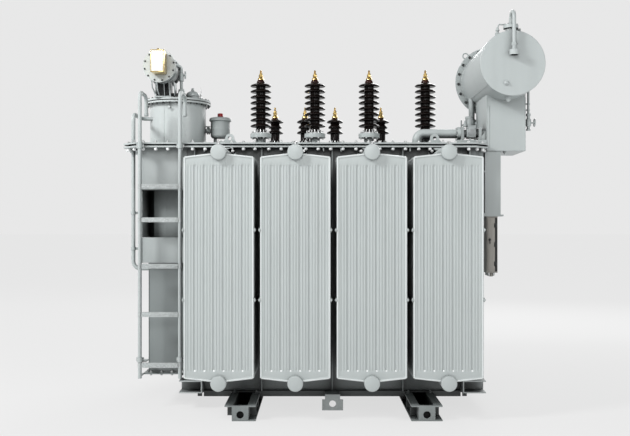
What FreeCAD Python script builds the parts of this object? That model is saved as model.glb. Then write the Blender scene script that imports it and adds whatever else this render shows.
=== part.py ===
import FreeCAD, Part
import os
import re
import Sketcher

# An oil-filled power transformer with an on-load tap changer, in millimetres.
# +Z is up and z = 0 is the floor under the skids. X runs along the tank, Y across it.
# The origin is midway between the skids, below the middle of the tank.

SIZES = {
    # skids: two channels back to back under each end of the tank
    "skid_half_spacing": 692,
    "skid_half_length": 1126,
    "skid_height": 115,
    "skid_half_gap": 53.5,
    "skid_web": 8,
    "skid_flange": 10,
    "skid_flange_reach": 54,
    "skid_end_plate": 10,
    "skid_end_strip": 25,
    "tow_hole_radius": 27.5,
    "tow_hole_height": 47,
    # tank base
    "base_plate": 12,
    "base_margin": 40,
    "base_rail_height": 32,
    "base_rail_thickness": 10,
    "rail_skid_clearance": 3,
    # hauling lugs
    "lug_arm": 160,
    "lug_plate": 12,
    "lug_half_width": 82,
    "lug_neck_half_width": 59,
    "lug_shoulder_height": 87,
    "lug_floor_gap": 3,
    "lug_hole_radius": 26.5,
    "lug_hole_height": 54,
    # jacking channels
    "jack_length": 182,
    "jack_height": 100,
    "jack_reach": 150,
    "jack_plate": 10,
    # tank
    "tank_half_length": 1170,
    "tank_half_depth": 550,
    "tank_plate": 8,
    "wall_height": 1946,
    "rim_plate": 12,
    "gasket_thickness": 14,
    "gasket_inset": 35,
    "cover_plate": 12,
    "rim_overhang": 90,
    "bay_overhang": 134,
    "rim_corner": 110,
    # stiffening ribs
    "rib_plate": 10,
    "rib_depth": 55,
    "end_rib_setback": 70,
    "side_rib_setback": 50,
    # tap changer bay on the left end of the tank
    "bay_reach": 380,
    "pocket_height": 333,
    "neck_height": 386,
    "neck_inset": 120,
    "neck_reach": 360,
    "neck_first_bend": 195,
    "neck_second_bend": 295,
    "neck_first_setback": 30,
    "neck_second_setback": 60,
    "neck_side_inset": 300,
    "box_height": 204,
    "box_reach": 361,
    "foot_height": 888,
    "foot_reach": 314,
    "foot_inset": 50,
    "foot_flange": 12,
    "foot_flange_overhang": 36,
    # radiators
    "radiator_end_margin": 42,
    "radiator_gap": 44,
    "header_low_gap": 161,
    "header_high_gap": 85,
    "header_radius": 58,
    "header_length": 565,
    "panel_thickness": 12,
    "panel_pitch": 45,
    "panel_count": 10,
    "panel_shoulder": 38,
    "header_inner_length": 103,
    "valve_length": 90,
    "valve_radius": 44,
    "valve_flange_radius": 80,
    "valve_flange": 24,
    # high-voltage bushings
    "hv_first": -594,
    "hv_pitch": 455,
    "hv_neutral": 789,
    "hv_line": 230,
    "hv_foot_radius": 42,
    "hv_foot_height": 76,
    "hv_flange_radius": 88,
    "hv_flange": 34,
    "hv_core_radius": 40,
    "hv_core_height": 429,
    "hv_shed_radius": 88,
    "hv_first_shed": 63,
    "hv_shed_pitch": 48.2,
    "hv_terminal_height": 80,
    # low-voltage bushings
    "lv_first": -495,
    "lv_pitch": 267,
    "lv_neutral": 449,
    "lv_line": 230,
    "lv_foot_radius": 80,
    "lv_foot_height": 24,
    "lv_clamp_radius": 62,
    "lv_clamp": 44,
    "lv_core_radius": 40,
    "lv_core_height": 207,
    "lv_shed_radius": 73,
    "lv_small_shed_radius": 60,
    "lv_first_shed": 98,
    "lv_shed_pitch": 48.2,
    "lv_terminal_height": 94,
    "neck_ring_radius": 29,
    "neck_ring_height": 25,
    "shed_edge": 6,
    "shed_slope": 17,
    # tap changer turret
    "turret_reach": 156,
    "turret_radius": 240,
    "turret_plate": 8,
    "turret_height": 377,
    "turret_foot_overhang": 28,
    "turret_foot": 12,
    "turret_flange_overhang": 42,
    "turret_flange": 14,
    "turret_gasket_inset": 20,
    "turret_gasket": 8,
    "turret_cover_plate": 16,
    # tap changer head and its small conservator
    "head_offset": 150,
    "head_y": -160,
    "head_radius": 58,
    "head_height": 90,
    "tap_tank_offset": 85,
    "tap_tank_rise": 229,
    "tap_tank_radius": 112,
    "tap_tank_flange_radius": 134,
    "tap_tank_flange": 14,
    "tap_tank_front": 450,
    "tap_tank_length": 316,
    "saddle_half_width": 70,
    "saddle_front": 275,
    "saddle_length": 120,
    "saddle_plate": 10,
    "gauge_offset": 11,
    "gauge_drop": 77,
    "gauge_half_width": 55,
    "gauge_height": 181,
    "gauge_depth": 150,
    "gauge_rim": 9,
    "gauge_plate_thickness": 6,
    # pressure relief valve
    "relief_offset": 366,
    "relief_low": 110,
    "relief_radius": 83,
    "relief_height": 132,
    "relief_lid_radius": 95,
    "relief_lid": 34,
    "relief_cap_radius": 24,
    "relief_cap_height": 36,
    "relief_leg_radius": 12,
    "relief_leg_offset": 44,
    "relief_branch_radius": 18,
    "relief_branch_height": 50,
    # side pipe from the turret down past the bay
    "side_pipe_radius": 16,
    "side_pipe_setback": 81,
    "side_pipe_start_y": -130,
    "side_pipe_rise": 249,
    "side_pipe_end_drop": 50,
    "side_pipe_bend": 60,
    "side_pipe_clearance": 2,
    "side_pipe_collar_radius": 32,
    "side_pipe_collar": 12,
    # ladder
    "ladder_reach": 195,
    "ladder_half_width": 159,
    "ladder_rim_gap": 17,
    "ladder_foot_drop": 10,
    "ladder_rise": 398,
    "ladder_rail_radius": 15,
    "ladder_hook_reach": 265,
    "ladder_hook_drop": 150,
    "ladder_hook_bend": 60,
    "tread_height": 36,
    "tread_depth": 32,
    "tread_level_1": 104,
    "tread_level_2": 505,
    "tread_level_3": 888,
    "tread_level_4": 1254,
    "tread_level_5": 1519,
    "ladder_bracket": 12,
    # lifting lugs on the cover
    "lifting_half_spacing": 823,
    "lifting_line_offset": 10,
    "lifting_eye_radius": 36,
    "lifting_plate": 20,
    "lifting_hole_radius": 15,
    "lifting_hole_height": 40,
    # conservator
    "conservator_reach": 244,
    "conservator_rise": 613,
    "conservator_radius": 256.5,
    "conservator_plate": 5,
    "conservator_front": 740,
    "conservator_length": 920,
    "conservator_end_plate": 8,
    "conservator_flange_radius": 305,
    "conservator_flange": 14,
    # pedestal, beams and column that carry the conservator
    "pedestal_gap": 2,
    "pedestal_width": 316,
    "pedestal_front": 460,
    "pedestal_depth": 470,
    "pedestal_drop": 53,
    "pedestal_plate": 8,
    "pedestal_hole_clearance": 2,
    "beam_length": 250,
    "beam_height": 38,
    "beam_width": 50,
    "column_gap": 80,
    "column_width": 128,
    "column_depth": 200,
    "column_plate": 8,
    "column_height": 518,
    "column_setback": 10,
    "bracket_plate": 12,
    "ledge_plate": 15,
    "ledge_overhang": 24,
    "terminal_box_gap": 95,
    "terminal_box_width": 89,
    "terminal_box_depth": 180,
    "terminal_box_height": 461,
    "gland_radius": 14,
    "gland_length": 32,
    # breather pipe and handhole on top of the conservator
    "handhole_setback": 80,
    "handhole_neck_radius": 42,
    "handhole_rise": 29,
    "handhole_flange_radius": 59,
    "handhole_flange": 14,
    "breather_radius": 15,
    "breather_bend": 60,
    "breather_rise": 420,
    "breather_low_rise": 96,
    "breather_cap_radius": 37,
    "breather_cap_height": 40,
    # oil line from the cover to the conservator, with the gas relay
    "oil_line_setback": 70,
    "oil_line_rise": 95,
    "oil_pipe_radius": 38,
    "oil_pipe_bend": 55,
    "oil_run": 356,
    "oil_flange_radius": 55,
    "oil_flange": 28,
    "relay_gap": 38,
    "relay_flange": 24,
    "relay_flange_half": 52,
    "relay_length": 168,
    "relay_neck_radius": 32,
    "relay_body_half": 40,
    "relay_body_rise": 64,
    "relay_glass_radius": 28,
    "relay_glass_height": 76,
    "drain_offset": 183,
    "drain_setback": 50,
    "drain_radius": 26,
    "drain_drop": 354,
    "drain_valve_radius": 45,
    "drain_valve_height": 80,
}

# levels and places that follow from the sizes, written as formulas of the size words
BASE_TOP = "(skid_height + base_plate)"
WALL_TOP = "(skid_height + base_plate + wall_height)"
COVER_TOP = "(skid_height + base_plate + wall_height + rim_plate + gasket_thickness + cover_plate)"
POCKET_LOW = f"({WALL_TOP} - pocket_height)"
NECK_LOW = f"({POCKET_LOW} - neck_height)"
BOX_LOW = f"({NECK_LOW} - box_height)"
FOOT_LOW = f"({BOX_LOW} - foot_height)"
BAY_END = "(-tank_half_length - bay_reach)"
COVER_RIGHT = "(tank_half_length + rim_overhang)"
COVER_LEFT = "(-tank_half_length - bay_reach - bay_overhang)"
COVER_FRONT = "(tank_half_depth + rim_overhang)"
JACK_END = "(tank_half_length + base_margin)"
JACK_START = "(tank_half_length + base_margin - jack_length)"
RADIATOR_PITCH = "((tank_half_length - radiator_end_margin) / 2)"
PANEL_HALF = f"(({RADIATOR_PITCH} - radiator_gap) / 2)"
HEADER_LOW = f"({BASE_TOP} + header_low_gap)"
HEADER_HIGH = f"({WALL_TOP} - header_high_gap)"
TURRET_X = "(-tank_half_length - turret_reach)"
TURRET_TOP = f"({COVER_TOP} + turret_height + turret_flange + turret_gasket + turret_cover_plate)"
TAP_TANK_X = f"({TURRET_X} - tap_tank_offset)"
TAP_TANK_Z = f"({TURRET_TOP} + tap_tank_rise)"
TURRET_RIM = "(turret_radius + turret_flange_overhang)"
SIDE_PIPE_Y = "(-tank_half_depth + side_pipe_setback)"
NECK_HALF = "(tank_half_depth - neck_inset)"
FOOT_HALF = "(tank_half_depth - foot_inset)"
LUG_REACH = "(tank_half_depth + base_margin + lug_arm)"
SIDE_PIPE_X = f"({BAY_END} - bay_overhang / 2)"
LADDER_X = "(-tank_half_length - ladder_reach)"
LADDER_Y = f"(-{COVER_FRONT} - ladder_rim_gap - ladder_rail_radius)"
LADDER_LOW = f"({FOOT_LOW} - foot_flange - ladder_foot_drop)"
CONSERVATOR_X = "(tank_half_length + conservator_reach)"
CONSERVATOR_Z = f"({COVER_TOP} + conservator_rise)"
PEDESTAL_LEFT = f"({COVER_RIGHT} + pedestal_gap)"
PEDESTAL_RIGHT = f"({PEDESTAL_LEFT} + pedestal_width)"
PEDESTAL_BACK = "(-pedestal_front + pedestal_depth)"
PEDESTAL_LOW = f"({COVER_TOP} - pedestal_drop)"
HANDHOLE_Y = "(-conservator_front + handhole_setback)"
OIL_LINE_Y = "(-pedestal_front + oil_line_setback)"
OIL_LINE_Z = f"({COVER_TOP} + oil_line_rise)"
RELAY_END = f"({PEDESTAL_LEFT} - relay_gap)"
RELAY_START = f"({RELAY_END} - relay_length)"
DRAIN_LOW = f"({CONSERVATOR_Z} - drain_drop)"

doc = FreeCAD.newDocument("power_transformer")
sheet = doc.addObject("Spreadsheet::Sheet", "Sizes")
for row, (word, size) in enumerate(SIZES.items(), 1):
    sheet.set(f"A{row}", str(size))
    sheet.setAlias(f"A{row}", word)
doc.recompute()

# how a piece drawn standing on the XY plane is turned to run or face another way
TURNS = {
    "z": FreeCAD.Rotation(),
    "x": FreeCAD.Rotation(FreeCAD.Vector(0, 1, 0), 90),
    "y": FreeCAD.Rotation(FreeCAD.Vector(1, 0, 0), -90),
    "front": FreeCAD.Rotation(FreeCAD.Vector(1, 0, 0), 90),
    "back": FreeCAD.Rotation(FreeCAD.Vector(0, 1, 1), 180),
}
nodes = []


def formula(text):
    """Points the size words of a formula at the sheet's cells."""
    return re.sub(
        r"[a-z]\w*",
        lambda found: "Sizes." + found.group() if found.group() in SIZES else found.group(),
        str(text),
    )


def value(text):
    """Works a formula of size words out, in millimetres."""
    return float(sheet.evalExpression(formula(text)))


def place(piece, at, turn="z"):
    """Turns a piece and ties its place to the sheet."""
    piece.Placement = FreeCAD.Placement(FreeCAD.Vector(), TURNS[turn])
    for axis, text in zip("xyz", at):
        piece.setExpression("Placement.Base." + axis, formula(text))


def block(name, x, y, z):
    """A box between two limits along each axis."""
    piece = doc.addObject("Part::Box", name)
    for side, (low, high) in zip(("Length", "Width", "Height"), (x, y, z)):
        piece.setExpression(side, f"{formula(high)} - ({formula(low)})")
    place(piece, (x[0], y[0], z[0]))
    return piece


def rod(name, radius, length, at, turn="z"):
    """A round bar that starts at a point and runs along an axis."""
    piece = doc.addObject("Part::Cylinder", name)
    piece.setExpression("Radius", formula(radius))
    piece.setExpression("Height", formula(length))
    place(piece, at, turn)
    return piece


def cut(name, piece, *tools):
    """A piece with every tool taken out of it."""
    for count, tool in enumerate(tools, 1):
        last = count == len(tools)
        trimmed = doc.addObject("Part::Cut", name if last else f"{name}_trim_{count}")
        trimmed.Base = piece
        trimmed.Tool = tool
        piece = trimmed
    return piece


def weld(name, *pieces):
    """Pieces joined into one solid."""
    joined = doc.addObject("Part::MultiFuse", name)
    joined.Shapes = pieces
    joined.Refine = True
    return joined


def collect(name, *pieces):
    """Like pieces that don't touch, kept together under one name."""
    together = doc.addObject("Part::Compound", name)
    together.Links = pieces
    return together


def finish(name, piece):
    """Names a finished sub-part of the transformer."""
    piece.Label = name
    nodes.append(piece)
    return piece


def draw(sketch, outline):
    """Draws a closed outline of straight lines, each corner tied to the sheet."""
    corners = [FreeCAD.Vector(value(across), value(up), 0) for across, up in outline]
    first = sketch.GeometryCount
    total = len(corners)
    for step, corner in enumerate(corners):
        sketch.addGeometry(Part.LineSegment(corner, corners[(step + 1) % total]))
    for step, (across, up) in enumerate(outline):
        line = first + step
        following = first + (step + 1) % total
        sketch.addConstraint(Sketcher.Constraint("Coincident", line, 2, following, 1))
        for kind, text in (("DistanceX", across), ("DistanceY", up)):
            mark = sketch.addConstraint(Sketcher.Constraint(kind, -1, 1, line, 1, value(text)))
            sketch.setExpression(f"Constraints[{mark}]", formula(text))


def draw_circle(sketch, across, up, radius):
    """Draws a circle, its centre and radius tied to the sheet."""
    middle = FreeCAD.Vector(value(across), value(up), 0)
    ring = sketch.addGeometry(Part.Circle(middle, FreeCAD.Vector(0, 0, 1), value(radius)))
    for kind, text in (("DistanceX", across), ("DistanceY", up)):
        mark = sketch.addConstraint(Sketcher.Constraint(kind, -1, 1, ring, 3, value(text)))
        sketch.setExpression(f"Constraints[{mark}]", formula(text))
    mark = sketch.addConstraint(Sketcher.Constraint("Radius", ring, value(radius)))
    sketch.setExpression(f"Constraints[{mark}]", formula(radius))


def new_sketch(body, name, height="0"):
    """An empty sketch on the body's own XY plane, raised to a height."""
    sketch = body.newObject("Sketcher::SketchObject", name)
    planes = [plane for plane in body.Origin.OriginFeatures if plane.Role == "XY_Plane"]
    sketch.AttachmentSupport = (planes[0], [""])
    sketch.MapMode = "FlatFace"
    sketch.setExpression("AttachmentOffset.Base.z", formula(height))
    return sketch


def plate(name, outlines, thickness, at, turn="z", holes=()):
    """A flat plate cut to an outline, with round holes."""
    body = doc.addObject("PartDesign::Body", name)
    sketch = new_sketch(body, name + "_outline")
    for outline in outlines:
        draw(sketch, outline)
    for hole in holes:
        draw_circle(sketch, *hole)
    pad = body.newObject("PartDesign::Pad", name + "_pad")
    pad.Profile = sketch
    pad.setExpression("Length", formula(thickness))
    place(body, at, turn)
    return body


def turned(name, profile, at):
    """A round piece turned about its upright axis from a half profile."""
    body = doc.addObject("PartDesign::Body", name)
    sketch = new_sketch(body, name + "_profile")
    draw(sketch, profile)
    lathe = body.newObject("PartDesign::Revolution", name + "_turn")
    lathe.Profile = sketch
    lathe.ReferenceAxis = (sketch, ["V_Axis"])
    lathe.Angle = 360
    place(body, at, "front")
    return body


def bent_pipe(name, radius, bend, route):
    """A round pipe along straight runs joined by bends of one radius."""
    corners = [FreeCAD.Vector(*[value(text) for text in point]) for point in route]
    bend_radius = value(bend)
    edges = []
    start = corners[0]
    for before, corner, after in zip(corners, corners[1:], corners[2:]):
        inward = (before - corner).normalize()
        outward = (after - corner).normalize()
        middle = (inward + outward).normalize()
        lean = inward.dot(middle)
        drop = (1 - lean * lean) ** 0.5
        entry = corner + inward * (bend_radius * lean / drop)
        leave = corner + outward * (bend_radius * lean / drop)
        crown = corner + middle * (bend_radius / drop - bend_radius)
        if start.distanceToPoint(entry) > 0.001:
            edges.append(Part.LineSegment(start, entry).toShape())
        edges.append(Part.Arc(entry, crown, leave).toShape())
        start = leave
    edges.append(Part.LineSegment(start, corners[-1]).toShape())
    path = Part.Wire(edges)
    ring = Part.Circle(corners[0], corners[1] - corners[0], value(radius)).toShape()
    pipe = doc.addObject("Part::Feature", name)
    pipe.Shape = path.makePipeShell([Part.Wire(ring)], True, False)
    return pipe


# ---- skids -------------------------------------------------------------------
# Each skid is two rolled channels set back to back with a gap between them. A plate
# with a towing hole closes each end, under a strip that ties the top flanges together.
def skid(name, middle, outer_side):
    web_out = "(skid_half_gap + skid_web)"
    pieces = []
    for side in (-1, 1):
        label = f"{name}_{'left' if side < 0 else 'right'}"
        near = f"{middle} + {side} * skid_half_gap"
        far = f"{middle} + {side} * {web_out}"
        edge = f"{middle} + {side} * ({web_out} + skid_flange_reach)"
        web = (near, far) if side > 0 else (far, near)
        shelf = (far, edge) if side > 0 else (edge, far)
        along = ("-skid_half_length", "skid_half_length")
        pieces.append(block(label + "_web", web, along, (0, "skid_height")))
        pieces.append(block(label + "_top", shelf, along, ("skid_height - skid_flange", "skid_height")))
        if side != outer_side:
            pieces.append(block(label + "_low", shelf, along, (0, "skid_flange")))
    between = (f"{middle} - skid_half_gap", f"{middle} + skid_half_gap")
    for end, (low, high) in (
        ("front", ("-skid_half_length", "-skid_half_length + skid_end_plate")),
        ("back", ("skid_half_length - skid_end_plate", "skid_half_length")),
    ):
        closing = block(f"{name}_{end}_plate", between, (low, high), (0, "skid_height - skid_flange"))
        hole = rod(f"{name}_{end}_hole", "tow_hole_radius", "skid_end_plate", (middle, low, "tow_hole_height"), "y")
        pieces.append(cut(f"{name}_{end}_closing", closing, hole))
    for end, (low, high) in (
        ("front", ("-skid_half_length", "-skid_half_length + skid_end_strip")),
        ("back", ("skid_half_length - skid_end_strip", "skid_half_length")),
    ):
        level = ("skid_height - skid_flange", "skid_height")
        pieces.append(block(f"{name}_{end}_strip", between, (low, high), level))
    finish(name, weld(name + "_weld", *pieces))


skid("skid_left", "-skid_half_spacing", -1)
skid("skid_right", "skid_half_spacing", 0)

# ---- base plate, rails and lugs ------------------------------------------------
# The tank's floor is one plate with a flat bar welded under its long edges, cut away
# where the skids pass.
base_x = "(tank_half_length + base_margin)"
base_y = "(tank_half_depth + base_margin)"
floor_plate = block(
    "base_plate_piece", (f"-{base_x}", base_x), (f"-{base_y}", base_y), ("skid_height", BASE_TOP)
)
skid_half = "(skid_half_gap + skid_web + skid_flange_reach + rail_skid_clearance)"
rail_spans = {
    "left": (f"-{JACK_START}", f"-skid_half_spacing - {skid_half}"),
    "middle": (f"-skid_half_spacing + {skid_half}", f"skid_half_spacing - {skid_half}"),
    "right": (f"skid_half_spacing + {skid_half}", JACK_START),
}
base_rails = []
rail_level = ("skid_height - base_rail_height", "skid_height")
for spot, span in rail_spans.items():
    front_y = (f"-{base_y}", f"-{base_y} + base_rail_thickness")
    back_y = (f"{base_y} - base_rail_thickness", base_y)
    base_rails.append(block(f"front_rail_{spot}", span, front_y, rail_level))
    base_rails.append(block(f"back_rail_{spot}", span, back_y, rail_level))
finish("base_plate", weld("base_plate_weld", floor_plate, *base_rails))

# A hauling lug stands out from the middle of each long side, on an arm at floor level.
lug_outline = [
    ("-lug_half_width", "lug_floor_gap"),
    ("lug_half_width", "lug_floor_gap"),
    ("lug_half_width", "lug_shoulder_height"),
    ("lug_neck_half_width", "lug_shoulder_height"),
    ("lug_neck_half_width", BASE_TOP),
    ("-lug_neck_half_width", BASE_TOP),
    ("-lug_neck_half_width", "lug_shoulder_height"),
    ("-lug_half_width", "lug_shoulder_height"),
]
lug_hole = (0, "lug_hole_height", "lug_hole_radius")
front_lug = plate(
    "front_lug_plate", [lug_outline], "lug_plate", (0, f"-{LUG_REACH} + lug_plate", 0), "front", [lug_hole]
)
back_lug = plate(
    "back_lug_plate", [lug_outline], "lug_plate", (0, f"{LUG_REACH} - lug_plate", 0), "back", [lug_hole]
)
arm_x = ("-lug_neck_half_width", "lug_neck_half_width")
front_arm = block("front_lug_arm", arm_x, (f"-{LUG_REACH} + lug_plate", f"-{base_y}"), ("skid_height", BASE_TOP))
back_arm = block("back_lug_arm", arm_x, (base_y, f"{LUG_REACH} - lug_plate"), ("skid_height", BASE_TOP))
lugs = collect(
    "hauling_lug_pair",
    weld("front_hauling_lug", front_lug, front_arm),
    weld("back_hauling_lug", back_lug, back_arm),
)
finish("hauling_lugs", lugs)

# Short channels at the four lower corners take the jacks.
jacks = []
for side in (-1, 1):
    for face in (-1, 1):
        label = f"jack_{'left' if side < 0 else 'right'}_{'front' if face < 0 else 'back'}"
        x = (JACK_START, JACK_END) if side > 0 else (f"-{JACK_END}", f"-{JACK_START}")
        inner = (JACK_START, f"{JACK_START} + jack_plate")
        if side < 0:
            inner = (f"-({inner[1]})", f"-{inner[0]}")
        reach = ("tank_half_depth", "tank_half_depth + jack_reach")
        y = reach if face > 0 else (f"-({reach[1]})", f"-{reach[0]}")
        web = ("tank_half_depth", "tank_half_depth + jack_plate")
        web_y = web if face > 0 else (f"-({web[1]})", f"-{web[0]}")
        top = f"({BASE_TOP} + jack_height)"
        jacks.append(
            weld(
                label,
                block(label + "_web", x, web_y, (BASE_TOP, top)),
                block(label + "_low", x, y, (BASE_TOP, f"{BASE_TOP} + jack_plate")),
                block(label + "_top", x, y, (f"{top} - jack_plate", top)),
                block(label + "_end", inner, y, (BASE_TOP, top)),
            )
        )
finish("jacking_channels", collect("jacking_channel_set", *jacks))

# ---- tank ------------------------------------------------------------------------
# The wall is a ring of plate, open at the top under the cover.
tank_outer = block(
    "tank_outer",
    ("-tank_half_length", "tank_half_length"),
    ("-tank_half_depth", "tank_half_depth"),
    (BASE_TOP, WALL_TOP),
)
tank_inner = block(
    "tank_inner",
    ("-tank_half_length + tank_plate", "tank_half_length - tank_plate"),
    ("-tank_half_depth + tank_plate", "tank_half_depth - tank_plate"),
    (BASE_TOP, WALL_TOP),
)
finish("tank_wall", cut("tank_wall_ring", tank_outer, tank_inner))

# Upright flat bars stiffen the long walls between the radiators, and the right end.
ribs = []
for face in (-1, 1):
    side = "front" if face < 0 else "back"
    near = "tank_half_depth"
    far = "tank_half_depth + rib_depth"
    y = (near, far) if face > 0 else (f"-({far})", f"-{near}")
    for step in (-1, 0, 1):
        middle = f"{step} * {RADIATOR_PITCH}"
        x = (f"{middle} - rib_plate / 2", f"{middle} + rib_plate / 2")
        ribs.append(block(f"rib_{side}_{step + 2}", x, y, (BASE_TOP, WALL_TOP)))
    for end in (-1, 1):
        middle = f"{end} * (tank_half_length - end_rib_setback)"
        x = (f"{middle} - rib_plate / 2", f"{middle} + rib_plate / 2")
        low = f"{BASE_TOP} + jack_height"
        ribs.append(block(f"end_rib_{side}_{end + 2}", x, y, (low, WALL_TOP)))
    middle = f"{face} * (tank_half_depth - side_rib_setback)"
    ribs.append(
        block(
            f"side_rib_{side}",
            ("tank_half_length", "tank_half_length + rib_depth"),
            (f"{middle} - rib_plate / 2", f"{middle} + rib_plate / 2"),
            (BASE_TOP, WALL_TOP),
        )
    )
finish("wall_ribs", collect("wall_rib_set", *ribs))


def rim_outline(inset):
    """The cover's outline with its cut corners, drawn in by an inset."""
    left = f"({COVER_LEFT} + {inset})"
    right = f"({COVER_RIGHT} - {inset})"
    front = f"({COVER_FRONT} - {inset})"
    return [
        (f"{left} + rim_corner", f"-{front}"),
        (f"{right} - rim_corner", f"-{front}"),
        (right, f"-{front} + rim_corner"),
        (right, f"{front} - rim_corner"),
        (f"{right} - rim_corner", front),
        (f"{left} + rim_corner", front),
        (left, f"{front} - rim_corner"),
        (left, f"-{front} + rim_corner"),
    ]


tank_mouth = [
    (f"{BAY_END} + tank_plate", "-tank_half_depth + tank_plate"),
    ("tank_half_length - tank_plate", "-tank_half_depth + tank_plate"),
    ("tank_half_length - tank_plate", "tank_half_depth - tank_plate"),
    (f"{BAY_END} + tank_plate", "tank_half_depth - tank_plate"),
]
pipe_hole = (SIDE_PIPE_X, SIDE_PIPE_Y, "side_pipe_radius + side_pipe_clearance")
turret_mouth = (TURRET_X, 0, "turret_radius - turret_plate")


def strips(name, ring, low, high):
    """A flat ring as four strips butted together, the long ones over its full length."""
    mouth_front = "(tank_half_depth - tank_plate)"
    mouth_left = f"({BAY_END} + tank_plate)"
    zones = {
        "front": ((COVER_LEFT, COVER_RIGHT), (f"-{COVER_FRONT}", f"-{mouth_front}")),
        "back": ((COVER_LEFT, COVER_RIGHT), (mouth_front, COVER_FRONT)),
        "left": ((COVER_LEFT, mouth_left), (f"-{mouth_front}", mouth_front)),
        "right": (("tank_half_length - tank_plate", COVER_RIGHT), (f"-{mouth_front}", mouth_front)),
    }
    made = []
    for spot, (x, y) in zones.items():
        strip = doc.addObject("Part::Common", f"{name}_{spot}")
        strip.Base = ring
        strip.Tool = block(f"{name}_{spot}_zone", x, y, (low, high))
        made.append(strip)
    return collect(name + "_strips", *made)


# The rim is flat bar butted at the corners, and so is the gasket on it.
gasket_low = f"({WALL_TOP} + rim_plate)"
rim = plate("rim_flange_plate", [rim_outline(0), tank_mouth], "rim_plate", (0, 0, WALL_TOP), "z", [pipe_hole])
finish("rim_flange", strips("rim_flange", rim, WALL_TOP, gasket_low))
gasket = plate(
    "cover_gasket_ring",
    [rim_outline("gasket_inset"), tank_mouth],
    "gasket_thickness",
    (0, 0, gasket_low),
    "z",
    [pipe_hole],
)
finish("cover_gasket", strips("cover_gasket", gasket, gasket_low, f"{gasket_low} + gasket_thickness"))
cover = plate(
    "tank_cover_plate",
    [rim_outline(0)],
    "cover_plate",
    (0, 0, f"{COVER_TOP} - cover_plate"),
    "z",
    [pipe_hole, turret_mouth],
)
finish("tank_cover", cover)

# ---- tap changer bay ---------------------------------------------------------------
# A pocket under the cover takes the turret. Below it a bent-plate neck, a box and a
# narrower foot step down the end of the tank.
tank_end = "-tank_half_length"


def hollow_box(name, reach, half_depth, low, high, floor):
    """A three-sided plate box against the tank's end, open on the tank's side."""
    outer = block(
        name + "_outer", (f"{tank_end} - {reach}", tank_end), (f"-{half_depth}", half_depth), (low, high)
    )
    inner = block(
        name + "_inner",
        (f"{tank_end} - {reach} + tank_plate", tank_end),
        (f"-{half_depth} + tank_plate", f"{half_depth} - tank_plate"),
        (f"{low} + tank_plate" if floor else low, high),
    )
    return cut(name + "_shell", outer, inner)


finish("bay_pocket", hollow_box("bay_pocket", "bay_reach", "tank_half_depth", POCKET_LOW, WALL_TOP, True))


def neck_plan(inset):
    """The neck's plan: a sheet bent in steps round the tap changer."""
    front = [
        (tank_end, f"-{NECK_HALF} + {inset}"),
        (f"{tank_end} - neck_first_bend + {inset}", f"-{NECK_HALF} + neck_first_setback + {inset}"),
        (f"{tank_end} - neck_second_bend + {inset}", f"-{NECK_HALF} + neck_second_setback + {inset}"),
        (f"{tank_end} - neck_reach + {inset}", f"-tank_half_depth + neck_side_inset + {inset}"),
    ]
    back = [(x, f"-({y})") for x, y in reversed(front)]
    return front + back


neck_outer = plate("neck_outer", [neck_plan(0)], "neck_height", (0, 0, NECK_LOW))
neck_inner = plate("neck_inner", [neck_plan("tank_plate")], "neck_height", (0, 0, NECK_LOW))
finish("bay_neck", cut("bay_neck_shell", neck_outer, neck_inner))
finish("bay_box", hollow_box("bay_box", "box_reach", "tank_half_depth", BOX_LOW, NECK_LOW, False))
foot_shell = hollow_box("bay_foot", "foot_reach", FOOT_HALF, FOOT_LOW, BOX_LOW, False)
foot_edge = f"({FOOT_HALF} + foot_flange_overhang)"
foot_flange = block(
    "foot_flange_plate",
    (f"{tank_end} - foot_reach - foot_flange_overhang", tank_end),
    (f"-{foot_edge}", foot_edge),
    (f"{FOOT_LOW} - foot_flange", FOOT_LOW),
)
finish("bay_foot", weld("bay_foot_weld", foot_shell, foot_flange))

# ---- radiators -----------------------------------------------------------------------
# Each radiator is a stack of pressed panels on a top and a bottom header. The panel's
# top and bottom edges slope up and down to the headers.
panel_outline = [
    (f"-{PANEL_HALF}", f"{HEADER_LOW} + panel_shoulder"),
    (0, HEADER_LOW),
    (PANEL_HALF, f"{HEADER_LOW} + panel_shoulder"),
    (PANEL_HALF, f"{HEADER_HIGH} - panel_shoulder"),
    (0, HEADER_HIGH),
    (f"-{PANEL_HALF}", f"{HEADER_HIGH} - panel_shoulder"),
]


def radiator(name, middle, turn):
    """One radiator, its headers running out from the valves."""
    body = doc.addObject("PartDesign::Body", name + "_body")
    panel_sketch = new_sketch(body, name + "_panel_outline", "header_inner_length")
    draw(panel_sketch, panel_outline)
    panel = body.newObject("PartDesign::Pad", name + "_panel")
    panel.Profile = panel_sketch
    panel.setExpression("Length", formula("panel_thickness"))
    header_sketch = new_sketch(body, name + "_header_outline")
    draw_circle(header_sketch, 0, HEADER_LOW, "header_radius")
    draw_circle(header_sketch, 0, HEADER_HIGH, "header_radius")
    headers = body.newObject("PartDesign::Pad", name + "_headers")
    headers.Profile = header_sketch
    headers.setExpression("Length", formula("header_length"))
    doc.recompute()
    stack = body.newObject("PartDesign::LinearPattern", name + "_stack")
    stack.Originals = [panel]
    stack.Direction = (panel_sketch, ["N_Axis"])
    stack.setExpression("Length", formula("panel_pitch * (panel_count - 1)"))
    stack.setExpression("Occurrences", formula("panel_count"))
    body.Tip = stack
    mouth = "(tank_half_depth + valve_length)"
    place(body, (middle, f"-{mouth}" if turn == "front" else mouth, 0), turn)
    finish(name, body)


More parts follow.
